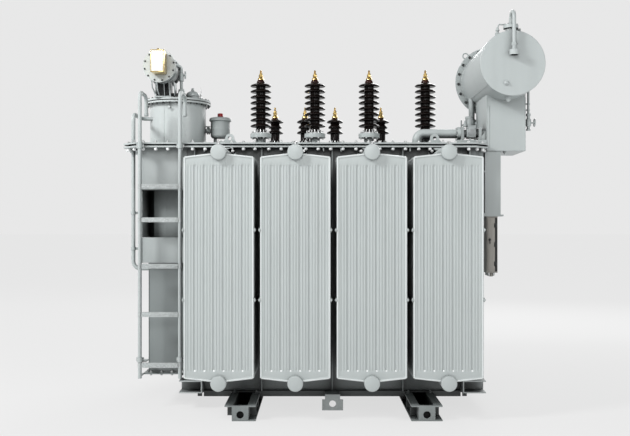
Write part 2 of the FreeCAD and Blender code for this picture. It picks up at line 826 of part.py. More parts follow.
# Butterfly valves join the headers to short stubs on the tank wall.
valves = []
for turn in ("front", "back"):
    for step in range(4):
        middle = f"{RADIATOR_PITCH} * {step - 1.5}"
        radiator(f"radiator_{turn}_{step + 1}", middle, turn)
        for level, height in (("low", HEADER_LOW), ("high", HEADER_HIGH)):
            label = f"valve_{turn}_{level}_{step + 1}"
            start = "-tank_half_depth - valve_length" if turn == "front" else "tank_half_depth"
            stub = rod(label + "_stub", "valve_radius", "valve_length", (middle, start, height), "y")
            if turn == "front":
                flange_start = "-tank_half_depth - valve_length"
            else:
                flange_start = "tank_half_depth + valve_length - valve_flange"
            flange = rod(
                label + "_flange", "valve_flange_radius", "valve_flange", (middle, flange_start, height), "y"
            )
            valves.append(weld(label, stub, flange))
finish("radiator_valves", collect("radiator_valve_set", *valves))

# ---- bushings ------------------------------------------------------------------------


def shed_profile(core, sheds, first, pitch, height):
    """Half profile of a porcelain insulator: a core with drooping sheds and a neck ring."""
    profile = [(0, 0), (core, 0)]
    for step, shed in enumerate(sheds):
        level = f"({first} + {step} * {pitch})"
        profile += [
            (core, f"{level} - shed_edge"),
            (shed, f"{level} - shed_edge"),
            (shed, level),
            (core, f"{level} + shed_slope"),
        ]
    profile += [
        (core, height),
        ("neck_ring_radius", height),
        ("neck_ring_radius", f"{height} + neck_ring_height"),
        (0, f"{height} + neck_ring_height"),
    ]
    return profile


def terminal_profile(height):
    """Half profile of a brass terminal: base, nuts and a stud that thins upwards."""
    steps = ((22, 0, 0.2), (16, 0.2, 0.4), (10, 0.4, 0.65), (12, 0.65, 0.75), (6, 0.75, 1))
    profile = [(0, 0)]
    for radius, low, high in steps:
        profile += [(radius, f"{low} * {height}"), (radius, f"{high} * {height}")]
    return profile + [(0, height)]


hv_places = [f"(hv_first + {step} * hv_pitch)" for step in range(3)] + ["hv_neutral"]
lv_places = [f"(lv_first + {step} * lv_pitch)" for step in range(3)] + ["lv_neutral"]
hv_seat = f"({COVER_TOP} + hv_foot_height + hv_flange)"
lv_seat = f"({COVER_TOP} + lv_foot_height + lv_clamp)"
hv_sheds = ["hv_shed_radius"] * 8
lv_sheds = ["lv_shed_radius", "lv_small_shed_radius", "lv_shed_radius"]
bushing_feet = []
bushing_tips = []
for number, x in enumerate(hv_places, 1):
    profile = shed_profile("hv_core_radius", hv_sheds, "hv_first_shed", "hv_shed_pitch", "hv_core_height")
    finish(f"hv_insulator_{number}", turned(f"hv_insulator_{number}_body", profile, (x, "-hv_line", hv_seat)))
    foot = rod(f"hv_foot_{number}", "hv_foot_radius", "hv_foot_height", (x, "-hv_line", COVER_TOP))
    ring = rod(
        f"hv_ring_{number}", "hv_flange_radius", "hv_flange", (x, "-hv_line", f"{COVER_TOP} + hv_foot_height")
    )
    bushing_feet.append(weld(f"hv_mount_{number}", foot, ring))
    tip = f"{hv_seat} + hv_core_height + neck_ring_height"
    bushing_tips.append(
        turned(f"hv_tip_{number}", terminal_profile("hv_terminal_height"), (x, "-hv_line", tip))
    )
for number, x in enumerate(lv_places, 1):
    profile = shed_profile("lv_core_radius", lv_sheds, "lv_first_shed", "lv_shed_pitch", "lv_core_height")
    finish(f"lv_insulator_{number}", turned(f"lv_insulator_{number}_body", profile, (x, "lv_line", lv_seat)))
    foot = rod(f"lv_foot_{number}", "lv_foot_radius", "lv_foot_height", (x, "lv_line", COVER_TOP))
    ring = rod(
        f"lv_ring_{number}", "lv_clamp_radius", "lv_clamp", (x, "lv_line", f"{COVER_TOP} + lv_foot_height")
    )
    bushing_feet.append(weld(f"lv_mount_{number}", foot, ring))
    tip = f"{lv_seat} + lv_core_height + neck_ring_height"
    bushing_tips.append(turned(f"lv_tip_{number}", terminal_profile("lv_terminal_height"), (x, "lv_line", tip)))
finish("bushing_flanges", collect("bushing_flange_set", *bushing_feet))
finish("bushing_terminals", collect("bushing_terminal_set", *bushing_tips))

# ---- lifting lugs ----------------------------------------------------------------------
lifting = []
lifting_z = f"({COVER_TOP} + lifting_hole_height)"
for side in (-1, 1):
    for face in (-1, 1):
        label = f"lifting_lug_{'left' if side < 0 else 'right'}_{'front' if face < 0 else 'back'}"
        middle = f"{side} * lifting_half_spacing"
        low_y = f"({face} * (tank_half_depth + lifting_line_offset) - lifting_plate / 2)"
        shank = block(
            label + "_shank",
            (f"{middle} - lifting_eye_radius", f"{middle} + lifting_eye_radius"),
            (low_y, f"{low_y} + lifting_plate"),
            (COVER_TOP, lifting_z),
        )
        eye = rod(label + "_eye", "lifting_eye_radius", "lifting_plate", (middle, low_y, lifting_z), "y")
        hole = rod(label + "_hole", "lifting_hole_radius", "lifting_plate", (middle, low_y, lifting_z), "y")
        lifting.append(cut(label, weld(label + "_blank", shank, eye), hole))
finish("lifting_lugs", collect("lifting_lug_set", *lifting))

# ---- tap changer turret ------------------------------------------------------------------
turret_axis = (TURRET_X, 0)
turret_rim_low = f"({COVER_TOP} + turret_height)"
turret_solid = weld(
    "turret_solid",
    rod("turret_tube", "turret_radius", "turret_height", (*turret_axis, COVER_TOP)),
    rod("turret_foot_ring", "turret_radius + turret_foot_overhang", "turret_foot", (*turret_axis, COVER_TOP)),
    rod("turret_flange_ring", TURRET_RIM, "turret_flange", (*turret_axis, turret_rim_low)),
)
turret_bore = rod(
    "turret_bore", "turret_radius - turret_plate", "turret_height + turret_flange", (*turret_axis, COVER_TOP)
)
finish("turret_shell", cut("turret_shell_tube", turret_solid, turret_bore))
turret_gasket_low = f"({turret_rim_low} + turret_flange)"
turret_lid = weld(
    "turret_lid",
    rod("turret_gasket_disc", f"{TURRET_RIM} - turret_gasket_inset", "turret_gasket", (*turret_axis, turret_gasket_low)),
    rod(
        "turret_lid_disc",
        TURRET_RIM,
        "turret_cover_plate",
        (*turret_axis, f"{turret_gasket_low} + turret_gasket"),
    ),
)
finish("turret_cover", turret_lid)

# A domed gear head stands on the turret's cover.
head_profile = [
    (0, 0),
    ("head_radius", 0),
    ("head_radius", "head_height / 3"),
    ("head_radius * 0.85", "head_height * 0.55"),
    ("head_radius * 0.4", "head_height * 0.75"),
    ("head_radius * 0.4", "head_height"),
    (0, "head_height"),
]
finish("tap_head", turned("tap_head_body", head_profile, (f"{TURRET_X} + head_offset", "head_y", TURRET_TOP)))

# The tap changer's own small conservator lies on a gusseted saddle.
tap_front = "-tap_tank_front"
tap_back = "(-tap_tank_front + tap_tank_length)"
tap_tank = weld(
    "tap_tank",
    rod("tap_tank_tube", "tap_tank_radius", "tap_tank_length", (TAP_TANK_X, tap_front, TAP_TANK_Z), "y"),
    rod(
        "tap_tank_front_flange",
        "tap_tank_flange_radius",
        "tap_tank_flange",
        (TAP_TANK_X, tap_front, TAP_TANK_Z),
        "y",
    ),
    rod(
        "tap_tank_back_flange",
        "tap_tank_flange_radius",
        "tap_tank_flange",
        (TAP_TANK_X, f"{tap_back} - tap_tank_flange", TAP_TANK_Z),
        "y",
    ),
)
finish("tap_conservator", tap_tank)
saddle_pieces = [
    block(
        "saddle_base",
        (f"{TAP_TANK_X} - saddle_half_width", f"{TAP_TANK_X} + saddle_half_width"),
        ("-saddle_front", "-saddle_front + saddle_length"),
        (TURRET_TOP, f"{TURRET_TOP} + saddle_plate"),
    )
]
for side in (-1, 1):
    middle = f"{TAP_TANK_X} + {side} * (saddle_half_width - saddle_plate)"
    saddle_pieces.append(
        block(
            f"saddle_cheek_{side + 2}",
            (f"{middle} - saddle_plate / 2", f"{middle} + saddle_plate / 2"),
            ("-saddle_front", "-saddle_front + saddle_length"),
            (TURRET_TOP, TAP_TANK_Z),
        )
    )
saddle_pieces.append(
    block(
        "saddle_web",
        (
            f"{TAP_TANK_X} - saddle_half_width + saddle_plate",
            f"{TAP_TANK_X} + saddle_half_width - saddle_plate",
        ),
        ("-saddle_front + saddle_length / 2", "-saddle_front + saddle_length / 2 + saddle_plate"),
        (TURRET_TOP, TAP_TANK_Z),
    )
)
saddle_seat = rod(
    "saddle_seat", "tap_tank_radius", "tap_tank_length", (TAP_TANK_X, tap_front, TAP_TANK_Z), "y"
)
finish("tap_saddle", cut("tap_saddle_cut", weld("saddle_weld", *saddle_pieces), saddle_seat))

# An oil gauge stands on the small conservator's front flange: a brass box and a white plate.
gauge_middle = f"({TAP_TANK_X} + gauge_offset)"
gauge_low = f"({TAP_TANK_Z} - gauge_drop)"
gauge_x = (f"{gauge_middle} - gauge_half_width", f"{gauge_middle} + gauge_half_width")
gauge_front = "(-tap_tank_front - gauge_depth)"
gauge_z = (gauge_low, f"{gauge_low} + gauge_height")
gauge_body = block("gauge_body", gauge_x, (gauge_front, tap_front), gauge_z)
plate_room = (
    (f"{gauge_x[0]} + gauge_rim", f"{gauge_x[1]} - gauge_rim"),
    (gauge_front, f"{gauge_front} + gauge_plate_thickness"),
    (f"{gauge_low} + gauge_rim", f"{gauge_low} + gauge_height - gauge_rim"),
)
finish("gauge_frame", cut("gauge_frame_tray", gauge_body, block("gauge_recess", *plate_room)))
finish("gauge_plate", block("gauge_plate_block", *plate_room))

# ---- pressure relief valve -----------------------------------------------------------------
relief_low = f"({COVER_TOP} + relief_low)"
relief_top = f"({relief_low} + relief_height)"
branch_z = f"{relief_low} + relief_branch_height"
branch_start = f"({TURRET_X} + turret_radius)"
relief_x = f"({TURRET_X} + relief_offset)"
relief = weld(
    "relief_weld",
    rod("relief_can", "relief_radius", "relief_height", (relief_x, 0, relief_low)),
    rod("relief_lid_disc", "relief_lid_radius", "relief_lid", (relief_x, 0, relief_top)),
    rod("relief_leg", "relief_leg_radius", "relief_low", (f"{relief_x} - relief_leg_offset", 0, COVER_TOP)),
    rod("relief_branch", "relief_branch_radius", f"{relief_x} - {branch_start}", (branch_start, 0, branch_z), "x"),
)
turret_clear = rod("turret_clear", "turret_radius", "turret_height", (*turret_axis, COVER_TOP))
finish("relief_valve", cut("relief_valve_cut", relief, turret_clear))
finish(
    "relief_cap",
    rod("relief_cap_rod", "relief_cap_radius", "relief_cap_height", (relief_x, 0, f"{relief_top} + relief_lid")),
)

# ---- side pipe ---------------------------------------------------------------------------------
# It leaves the turret's side, passes through the cover's overhang and drops to the foot.
side_top = f"({COVER_TOP} + side_pipe_rise)"
foot_side = f"({tank_end} - foot_reach)"
side_end = f"({BOX_LOW} - side_pipe_end_drop)"
side_route = [
    (TURRET_X, "side_pipe_start_y", side_top),
    (SIDE_PIPE_X, "side_pipe_start_y", side_top),
    (SIDE_PIPE_X, SIDE_PIPE_Y, side_top),
    (SIDE_PIPE_X, SIDE_PIPE_Y, side_end),
    (foot_side, SIDE_PIPE_Y, side_end),
]
side_run = bent_pipe("side_pipe_run", "side_pipe_radius", "side_pipe_bend", side_route)
collar_levels = {"above": COVER_TOP, "below": f"({WALL_TOP} - side_pipe_collar)"}
collars = [
    rod(f"collar_{spot}", "side_pipe_collar_radius", "side_pipe_collar", (SIDE_PIPE_X, SIDE_PIPE_Y, level))
    for spot, level in collar_levels.items()
]
turret_core = rod("turret_core", "turret_radius", "turret_height", (*turret_axis, COVER_TOP))
finish("side_pipe", cut("side_pipe_cut", weld("side_pipe_weld", side_run, *collars), turret_core))

# ---- ladder --------------------------------------------------------------------------------------
# Two tube rails hook over at the top. Flat treads run between them, and short bars
# fix the rails to the cover's rim and to the foot of the bay.
rails = []
ladder_top = f"({COVER_TOP} + ladder_rise)"
for side in (-1, 1):
    label = f"ladder_rail_{'left' if side < 0 else 'right'}"
    x = f"({LADDER_X} + {side} * ladder_half_width)"
    run = bent_pipe(
        label + "_run",
        "ladder_rail_radius",
        "ladder_hook_bend",
        [
            (x, LADDER_Y, LADDER_LOW),
            (x, LADDER_Y, ladder_top),
            (x, f"{LADDER_Y} + ladder_hook_reach", ladder_top),
            (x, f"{LADDER_Y} + ladder_hook_reach", f"{ladder_top} - ladder_hook_drop"),
        ],
    )
    span = (f"{x} - ladder_bracket / 2", f"{x} + ladder_bracket / 2")
    rim_level = (WALL_TOP, f"{WALL_TOP} + rim_plate")
    top_bar = block(label + "_top_bar", span, (LADDER_Y, f"-{COVER_FRONT}"), rim_level)
    foot_level = (f"{FOOT_LOW} - foot_flange", FOOT_LOW)
    low_bar = block(label + "_low_bar", span, (LADDER_Y, f"-{foot_edge}"), foot_level)
    rails.append(weld(label, run, top_bar, low_bar))
finish("ladder_rails", collect("ladder_rail_pair", *rails))
treads = []
tread_x = (
    f"{LADDER_X} - ladder_half_width + ladder_rail_radius",
    f"{LADDER_X} + ladder_half_width - ladder_rail_radius",
)
for step in range(1, 6):
    level = f"({LADDER_LOW} + tread_level_{step})"
    treads.append(
        block(
            f"ladder_tread_{step}",
            tread_x,
            (f"{LADDER_Y} - tread_depth / 2", f"{LADDER_Y} + tread_depth / 2"),
            (f"{level} - tread_height / 2", f"{level} + tread_height / 2"),
        )
    )
finish("ladder_treads", collect("ladder_tread_set", *treads))

# ---- conservator -----------------------------------------------------------------------------------
# A lying drum: the shell with its rear flange, a flat front end and a bolted rear cover.
drum_front = "(-conservator_front + conservator_end_plate)"
drum_back = f"({drum_front} + conservator_length - conservator_end_plate)"
drum_axis_front = (CONSERVATOR_X, drum_front, CONSERVATOR_Z)
drum_length = "conservator_length - conservator_end_plate"
drum_solid = weld(
    "drum_solid",
    rod("drum_tube", "conservator_radius", drum_length, drum_axis_front, "y"),
    rod(
        "drum_flange",
        "conservator_flange_radius",
        "conservator_flange",
        (CONSERVATOR_X, f"{drum_back} - conservator_flange", CONSERVATOR_Z),
        "y",
    ),
)
drum_bore = rod("drum_bore", "conservator_radius - conservator_plate", drum_length, drum_axis_front, "y")
finish("conservator_shell", cut("conservator_shell_tube", drum_solid, drum_bore))
finish(
    "conservator_front_end",
    rod(
        "drum_front_disc",
        "conservator_radius",
        "conservator_end_plate",
        (CONSERVATOR_X, "-conservator_front", CONSERVATOR_Z),
        "y",
    ),
)
finish(
    "conservator_back_cover",
    rod(
        "drum_back_disc",
        "conservator_flange_radius",
        "conservator_flange",
        (CONSERVATOR_X, drum_back, CONSERVATOR_Z),
        "y",
    ),
)

# The pedestal is a plate box hung out past the end of the cover, cut to the drum's curve.
pedestal_outer = block(
    "pedestal_outer",
    (PEDESTAL_LEFT, PEDESTAL_RIGHT),
    ("-pedestal_front", PEDESTAL_BACK),
    (PEDESTAL_LOW, CONSERVATOR_Z),
)
pedestal_inner = block(
    "pedestal_inner",
    (f"{PEDESTAL_LEFT} + pedestal_plate", f"{PEDESTAL_RIGHT} - pedestal_plate"),
    ("-pedestal_front + pedestal_plate", f"{PEDESTAL_BACK} - pedestal_plate"),
    (f"{PEDESTAL_LOW} + pedestal_plate", CONSERVATOR_Z),
)
pedestal_seat = rod(
    "pedestal_seat", "conservator_radius", drum_length, (CONSERVATOR_X, drum_front, CONSERVATOR_Z), "y"
)
pipe_entry = rod(
    "pipe_entry",
    "oil_pipe_radius + pedestal_hole_clearance",
    "pedestal_plate",
    (PEDESTAL_LEFT, OIL_LINE_Y, OIL_LINE_Z),
    "x",
)
finish("conservator_pedestal", cut("pedestal_box", pedestal_outer, pedestal_inner, pedestal_seat, pipe_entry))

# Two beams on the cover and a column on the tank's end carry the pedestal.
beam_x = (f"{PEDESTAL_LEFT} - beam_length", PEDESTAL_LEFT)
beam_z = (COVER_TOP, f"{COVER_TOP} + beam_height")
beams = [
    block("beam_front", beam_x, ("-pedestal_front", "-pedestal_front + beam_width"), beam_z),
    block("beam_back", beam_x, (f"{PEDESTAL_BACK} - beam_width", PEDESTAL_BACK), beam_z),
]
column_x = ("tank_half_length + column_gap", "tank_half_length + column_gap + column_width")
column_y = ("-pedestal_front + column_setback", "-pedestal_front + column_setback + column_depth")
column_low = f"({PEDESTAL_LOW} - column_height)"
column_outer = block("column_outer", column_x, column_y, (column_low, PEDESTAL_LOW))
column_inner = block(
    "column_inner",
    (f"{column_x[0]} + column_plate", f"{column_x[1]} - column_plate"),
    (f"{column_y[0]} + column_plate", f"{column_y[1]} - column_plate"),
    (column_low, PEDESTAL_LOW),
)
tie_x = ("tank_half_length", column_x[0])
ties = [
    block(f"column_tie_{number}", tie_x, column_y, (level, f"{level} + bracket_plate"))
    for number, level in enumerate((f"{column_low}", f"({column_low} + column_height * 2 / 3)"), 1)
]
ledge = block(
    "column_ledge",
    ("tank_half_length", f"{column_x[1]} + ledge_overhang"),
    (column_y[0], column_y[1]),
    (f"{column_low} - ledge_plate", column_low),
)
column = weld("column_weld", cut("column_tube", column_outer, column_inner), *ties, ledge)
finish("conservator_bracket", collect("conservator_bracket_set", column, *beams))

# The marshalling box for the control wiring hangs below the ledge, with glands under it.
terminal_x = ("tank_half_length + terminal_box_gap", "tank_half_length + terminal_box_gap + terminal_box_width")
terminal_y = (f"{column_y[0]} + column_setback", f"{column_y[0]} + column_setback + terminal_box_depth")
terminal_top = f"({column_low} - ledge_plate)"
terminal_low = f"({terminal_top} - terminal_box_height)"
terminal_parts = [block("terminal_case", terminal_x, terminal_y, (terminal_low, terminal_top))]
for step in (1, 2, 3):
    at = (
        f"({terminal_x[0]} + {terminal_x[1]}) / 2",
        f"{terminal_y[0]} + terminal_box_depth * {step} / 4",
        f"{terminal_low} - gland_length",
    )
    terminal_parts.append(rod(f"gland_{step}", "gland_radius", "gland_length", at))
finish("terminal_box", weld("terminal_box_weld", *terminal_parts))

# ---- breather --------------------------------------------------------------------------------------------
# A handhole neck with two flanges stands on the drum. The gooseneck rises from its lid and
# comes down in front of the drum's end.
neck_low = f"({CONSERVATOR_Z} + conservator_radius - conservator_plate)"
neck_height = "(handhole_rise + conservator_plate)"
lid_low = f"({neck_low} + {neck_height})"
lid_top = f"({lid_low} + 2 * handhole_flange)"
handhole_neck = rod(
    "handhole_neck", "handhole_neck_radius", neck_height, (CONSERVATOR_X, HANDHOLE_Y, neck_low)
)
handhole_lid = rod(
    "handhole_lid", "handhole_flange_radius", "2 * handhole_flange", (CONSERVATOR_X, HANDHOLE_Y, lid_low)
)
gooseneck_front = f"({HANDHOLE_Y} - 2 * breather_bend)"
gooseneck_top = f"({CONSERVATOR_Z} + breather_rise - breather_radius)"
breather_low = f"({CONSERVATOR_Z} + breather_low_rise)"
gooseneck = bent_pipe(
    "gooseneck",
    "breather_radius",
    "breather_bend",
    [
        (CONSERVATOR_X, HANDHOLE_Y, lid_top),
        (CONSERVATOR_X, HANDHOLE_Y, gooseneck_top),
        (CONSERVATOR_X, gooseneck_front, gooseneck_top),
        (CONSERVATOR_X, gooseneck_front, breather_low),
    ],
)
breather_cap = rod(
    "breather_cap",
    "breather_cap_radius",
    "breather_cap_height",
    (CONSERVATOR_X, gooseneck_front, f"{breather_low} - breather_cap_height"),
)
drum_clear = rod("drum_clear", "conservator_radius", drum_length, drum_axis_front, "y")
breather = weld("breather_weld", handhole_neck, handhole_lid, gooseneck, breather_cap)
finish("breather_pipe", cut("breather_cut", breather, drum_clear))

# ---- oil line -------------------------------------------------------------------------------------------------
# The pipe rises from the cover, runs through the gas relay and enters the pedestal, where
# it turns up into the drum. A drain with its valve hangs from the drum beside the pedestal.
oil_elbow_x = f"({RELAY_START} - oil_run)"
first_pipe = bent_pipe(
    "oil_pipe_first_run",
    "oil_pipe_radius",
    "oil_pipe_bend",
    [
        (oil_elbow_x, OIL_LINE_Y, COVER_TOP),
        (oil_elbow_x, OIL_LINE_Y, OIL_LINE_Z),
        (RELAY_START, OIL_LINE_Y, OIL_LINE_Z),
    ],
)
first_flange = rod(
    "oil_pipe_flange",
    "oil_flange_radius",
    "oil_flange",
    (f"{RELAY_START} - oil_flange", OIL_LINE_Y, OIL_LINE_Z),
    "x",
)
second_pipe = bent_pipe(
    "oil_pipe_second_run",
    "oil_pipe_radius",
    "oil_pipe_bend",
    [
        (RELAY_END, OIL_LINE_Y, OIL_LINE_Z),
        (CONSERVATOR_X, OIL_LINE_Y, OIL_LINE_Z),
        (CONSERVATOR_X, OIL_LINE_Y, CONSERVATOR_Z),
    ],
)
second_trim = rod("second_trim", "conservator_radius", drum_length, drum_axis_front, "y")
drain_x = f"({CONSERVATOR_X} - drain_offset)"
drain_y = f"({PEDESTAL_BACK} + drain_setback)"
drain = weld(
    "drain_weld",
    rod("drain_pipe", "drain_radius", "drain_drop", (drain_x, drain_y, DRAIN_LOW)),
    rod(
        "drain_valve",
        "drain_valve_radius",
        "drain_valve_height",
        (drain_x, drain_y, f"{DRAIN_LOW} - drain_valve_height"),
    ),
)
drain_trim = rod("drain_trim", "conservator_radius", drum_length, drum_axis_front, "y")
oil_pipes = collect(
    "oil_pipe_set",
    weld("oil_pipe_first", first_pipe, first_flange),
    cut("oil_pipe_second", second_pipe, second_trim),
    cut("drain", drain, drain_trim),
)
finish("oil_pipes", oil_pipes)

relay_y = (f"{OIL_LINE_Y} - relay_flange_half", f"{OIL_LINE_Y} + relay_flange_half")
relay_z = (f"{OIL_LINE_Z} - relay_flange_half", f"{OIL_LINE_Z} + relay_flange_half")
body_y = (f"{OIL_LINE_Y} - relay_body_half", f"{OIL_LINE_Y} + relay_body_half")
body_z = (f"{OIL_LINE_Z} - relay_body_half", f"{OIL_LINE_Z} + relay_body_rise")
relay_middle = f"({RELAY_START} + relay_length / 2)"
relay = weld(
    "relay_weld",
    block("relay_flange_left", (RELAY_START, f"{RELAY_START} + relay_flange"), relay_y, relay_z),
    block("relay_flange_right", (f"{RELAY_END} - relay_flange", RELAY_END), relay_y, relay_z),
    rod("relay_neck", "relay_neck_radius", "relay_length", (RELAY_START, OIL_LINE_Y, OIL_LINE_Z), "x"),
    block(
        "relay_case",
        (f"{relay_middle} - relay_body_half + relay_flange / 2", f"{relay_middle} + relay_body_half"),
        body_y,
        body_z,
    ),
    rod(
        "relay_glass",
        "relay_glass_radius",
        "relay_glass_height",
        (f"{relay_middle} - relay_flange / 2", OIL_LINE_Y, f"{OIL_LINE_Z} + relay_body_rise"),
    ),
)
finish("gas_relay", relay)

# ---- checks and export ---------------------------------------------------------------------------------------------
doc.recompute()
faults = [piece.Name for piece in doc.Objects if {"Invalid", "Error"} & set(piece.State)]
for node in nodes:
    if node.Shape.isNull() or not node.Shape.isValid() or not node.Shape.Solids:
        faults.append(node.Label)
if faults:
    raise RuntimeError("not built: " + ", ".join(faults))
os.makedirs("parts", exist_ok=True)
for node in nodes:
    node.Shape.exportStep(f"parts/{node.Label}.step")
print(len(nodes), "sub-parts")
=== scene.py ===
import math
import random
import bmesh
import bpy
from mathutils import Matrix, Vector


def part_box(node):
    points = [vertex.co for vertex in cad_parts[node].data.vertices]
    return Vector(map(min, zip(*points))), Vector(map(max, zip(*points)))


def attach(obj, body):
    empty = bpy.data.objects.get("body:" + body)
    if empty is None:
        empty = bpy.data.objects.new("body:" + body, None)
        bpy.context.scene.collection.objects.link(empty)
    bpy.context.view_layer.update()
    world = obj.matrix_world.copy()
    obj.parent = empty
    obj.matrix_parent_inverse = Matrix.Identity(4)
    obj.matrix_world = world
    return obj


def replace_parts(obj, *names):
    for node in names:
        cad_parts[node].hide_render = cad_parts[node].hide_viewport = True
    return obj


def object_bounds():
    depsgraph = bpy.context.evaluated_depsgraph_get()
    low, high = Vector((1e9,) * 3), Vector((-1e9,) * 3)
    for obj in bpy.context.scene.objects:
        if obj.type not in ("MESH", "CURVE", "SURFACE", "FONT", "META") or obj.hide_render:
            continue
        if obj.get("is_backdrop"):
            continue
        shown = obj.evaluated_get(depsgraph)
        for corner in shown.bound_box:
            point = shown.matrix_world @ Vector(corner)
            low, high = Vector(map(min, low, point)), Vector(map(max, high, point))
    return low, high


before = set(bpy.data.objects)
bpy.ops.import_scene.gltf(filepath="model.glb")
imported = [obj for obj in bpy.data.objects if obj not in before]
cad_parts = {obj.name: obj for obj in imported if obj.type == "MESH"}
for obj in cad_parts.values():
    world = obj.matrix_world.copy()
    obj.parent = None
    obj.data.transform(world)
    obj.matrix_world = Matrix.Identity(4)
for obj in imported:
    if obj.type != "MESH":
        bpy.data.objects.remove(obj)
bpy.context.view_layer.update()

# ---- studio ----------------------------------------------------------------------------------
# A pale floor and backdrop under soft lights, with a level camera square to the long side.
# The transformer stands on the floor on its own two skids.
scene = bpy.context.scene
camera_data = bpy.data.cameras.new("camera")
camera_data.sensor_width = 36.0
camera_data.lens = 50.46
camera_data.shift_x = -1 / 630
camera_data.shift_y = 10 / 630
camera_data.clip_end = 200.0
camera = bpy.data.objects.new("camera", camera_data)
camera.location = (-0.130, -7.660, 1.430)
camera.rotation_euler = (math.radians(90), 0, 0)
scene.collection.objects.link(camera)
scene.camera = camera
scene.view_settings.view_transform = "Standard"


def link(nodes, start, end):
    """Joins one shader socket to another in a node tree."""
    nodes.id_data.links.new(start, end)


def set_values(node, values):
    """Sets a shader node's sockets from a table of socket names and values."""
    for socket, value in values.items():
        node.inputs[socket].default_value = value


def add_node(nodes, kind, values=None, feeds=None):
    """Adds a shader node with its socket values and the sockets that feed it."""
    node = nodes.new("ShaderNode" + kind)
    set_values(node, values or {})
    for socket, source in (feeds or {}).items():
        link(nodes, source, node.inputs[socket])
    return node


def smooth_map(nodes, source, start, end, low, high):
    """Turns a value from start to end into one from low to high, along a smooth step."""
    spans = {"From Min": start, "From Max": end, "To Min": low, "To Max": high}
    node = add_node(nodes, "MapRange", spans, {"Value": source})
    node.interpolation_type = "SMOOTHSTEP"
    return node.outputs["Result"]


def new_material(name):
    """A material with its nodes, its shader and the socket that gives places on a piece."""
    material = bpy.data.materials.new(name)
    material.use_nodes = True
    nodes = material.node_tree.nodes
    return material, nodes, nodes["Principled BSDF"], add_node(nodes, "TexCoord").outputs["Object"]


world = bpy.data.worlds.new("pale_studio")
world.use_nodes = True
sky = world.node_tree.nodes
studio_dim = 0.25
studio_bright = 0.806
split = add_node(sky, "SeparateXYZ", feeds={"Vector": add_node(sky, "TexCoord").outputs["Generated"]})
paper = smooth_map(sky, split.outputs["Y"], 0.60, 0.88, studio_dim, studio_bright)
skyline = smooth_map(sky, split.outputs["Z"], 0.05, 0.20, studio_bright, studio_dim)
brighter = sky.new("ShaderNodeMath")
brighter.operation = "MAXIMUM"
link(sky, paper, brighter.inputs[0])
link(sky, skyline, brighter.inputs[1])
backdrop = sky["Background"]
backdrop.inputs["Color"].default_value = (1, 1, 1, 1)
link(sky, brighter.outputs["Value"], backdrop.inputs["Strength"])
scene.world = world


def add_light(name, place, target, size, power):
    """A square soft box that faces a point on the transformer."""
    lamp = bpy.data.lights.new(name, "AREA")
    lamp.shape = "SQUARE"
    lamp.size = size
    lamp.energy = power
    box = bpy.data.objects.new(name, lamp)
    box.location = place
    box.rotation_euler = (Vector(target) - Vector(place)).to_track_quat("-Z", "Y").to_euler()
    scene.collection.objects.link(box)
    return box


add_light("key_light", (-6.8, -5.0, 7.0), (0, 0, 1.3), 2.0, 720)
add_light("front_light", (-0.5, -8.5, 5.0), (0, 0, 1.3), 3.0, 170)
add_light("right_light", (6.5, -7.0, 3.6), (0, 0, 1.6), 3.0, 100)
add_light("back_light", (3.0, 7.0, 6.0), (0, 0, 1.6), 4.0, 420)

floor_paint, ground, floor_shader, floor_place = new_material("pale_floor")
set_values(floor_shader, {"Base Color": (0.14, 0.14, 0.14, 1), "Roughness": 1.0, "Specular IOR Level": 0.0})
floor_shader.inputs["Emission Color"].default_value = (1, 1, 1, 1)
reach_out = ground.new("ShaderNodeVectorMath")
reach_out.operation = "LENGTH"
link(ground, floor_place, reach_out.inputs[0])
glow = smooth_map(ground, reach_out.outputs["Value"], 1.5, 11.0, 0.69, 0.75)
link(ground, glow, floor_shader.inputs["Emission Strength"])
bpy.ops.mesh.primitive_plane_add(size=400, location=(0, 0, -0.001))
floor = bpy.context.object
floor.name = "studio_floor"
floor.data.materials.append(floor_paint)
floor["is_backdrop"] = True

# ---- skids and tank base ---------------------------------------------------------------------
# Two skids, each two rolled channels back to back with welded end plates, carry the tank's
# thick floor plate. All are mild steel, shot-blasted and sprayed with grey enamel.
up = (0, 0, 1)
down = (0, 0, -1)


def two_tone(nodes, source, start, end, dark, pale):
    """A colour that goes from dark to pale as a value goes from start to end."""
    tone = add_node(nodes, "ValToRGB", feeds={"Fac": source})
    for element, place, color in zip(tone.color_ramp.elements, (start, end), (dark, pale)):
        element.position = place
        element.color = (*color, 1)
    return tone.outputs["Color"]


def scaled(nodes, color, factor):
    """A colour times a value."""
    node = nodes.new("ShaderNodeVectorMath")
    node.operation = "SCALE"
    link(nodes, color, node.inputs[0])
    link(nodes, factor, node.inputs["Scale"])
    return node.outputs["Vector"]


def roughen(nodes, shader, source, low, high):
    """Varies a shader's roughness with a value."""
    node = add_node(nodes, "MapRange", {"To Min": low, "To Max": high}, {"Value": source})
    link(nodes, node.outputs["Result"], shader.inputs["Roughness"])


def ripple(nodes, shader, source, strength):
    """Gives a shader a shallow bump from a value."""
    node = add_node(nodes, "Bump", {"Strength": strength, "Distance": 0.002}, {"Height": source})
    link(nodes, node.outputs["Normal"], shader.inputs["Normal"])


def noise(nodes, place, scale, detail):
    """A cloudy value over a piece."""
    return add_node(nodes, "TexNoise", {"Scale": scale, "Detail": detail}, {"Vector": place}).outputs["Fac"]


def stretched(nodes, place, scale):
    """Places on a piece, scaled along each axis."""
    return add_node(nodes, "Mapping", {"Scale": scale}, {"Vector": place}).outputs["Vector"]


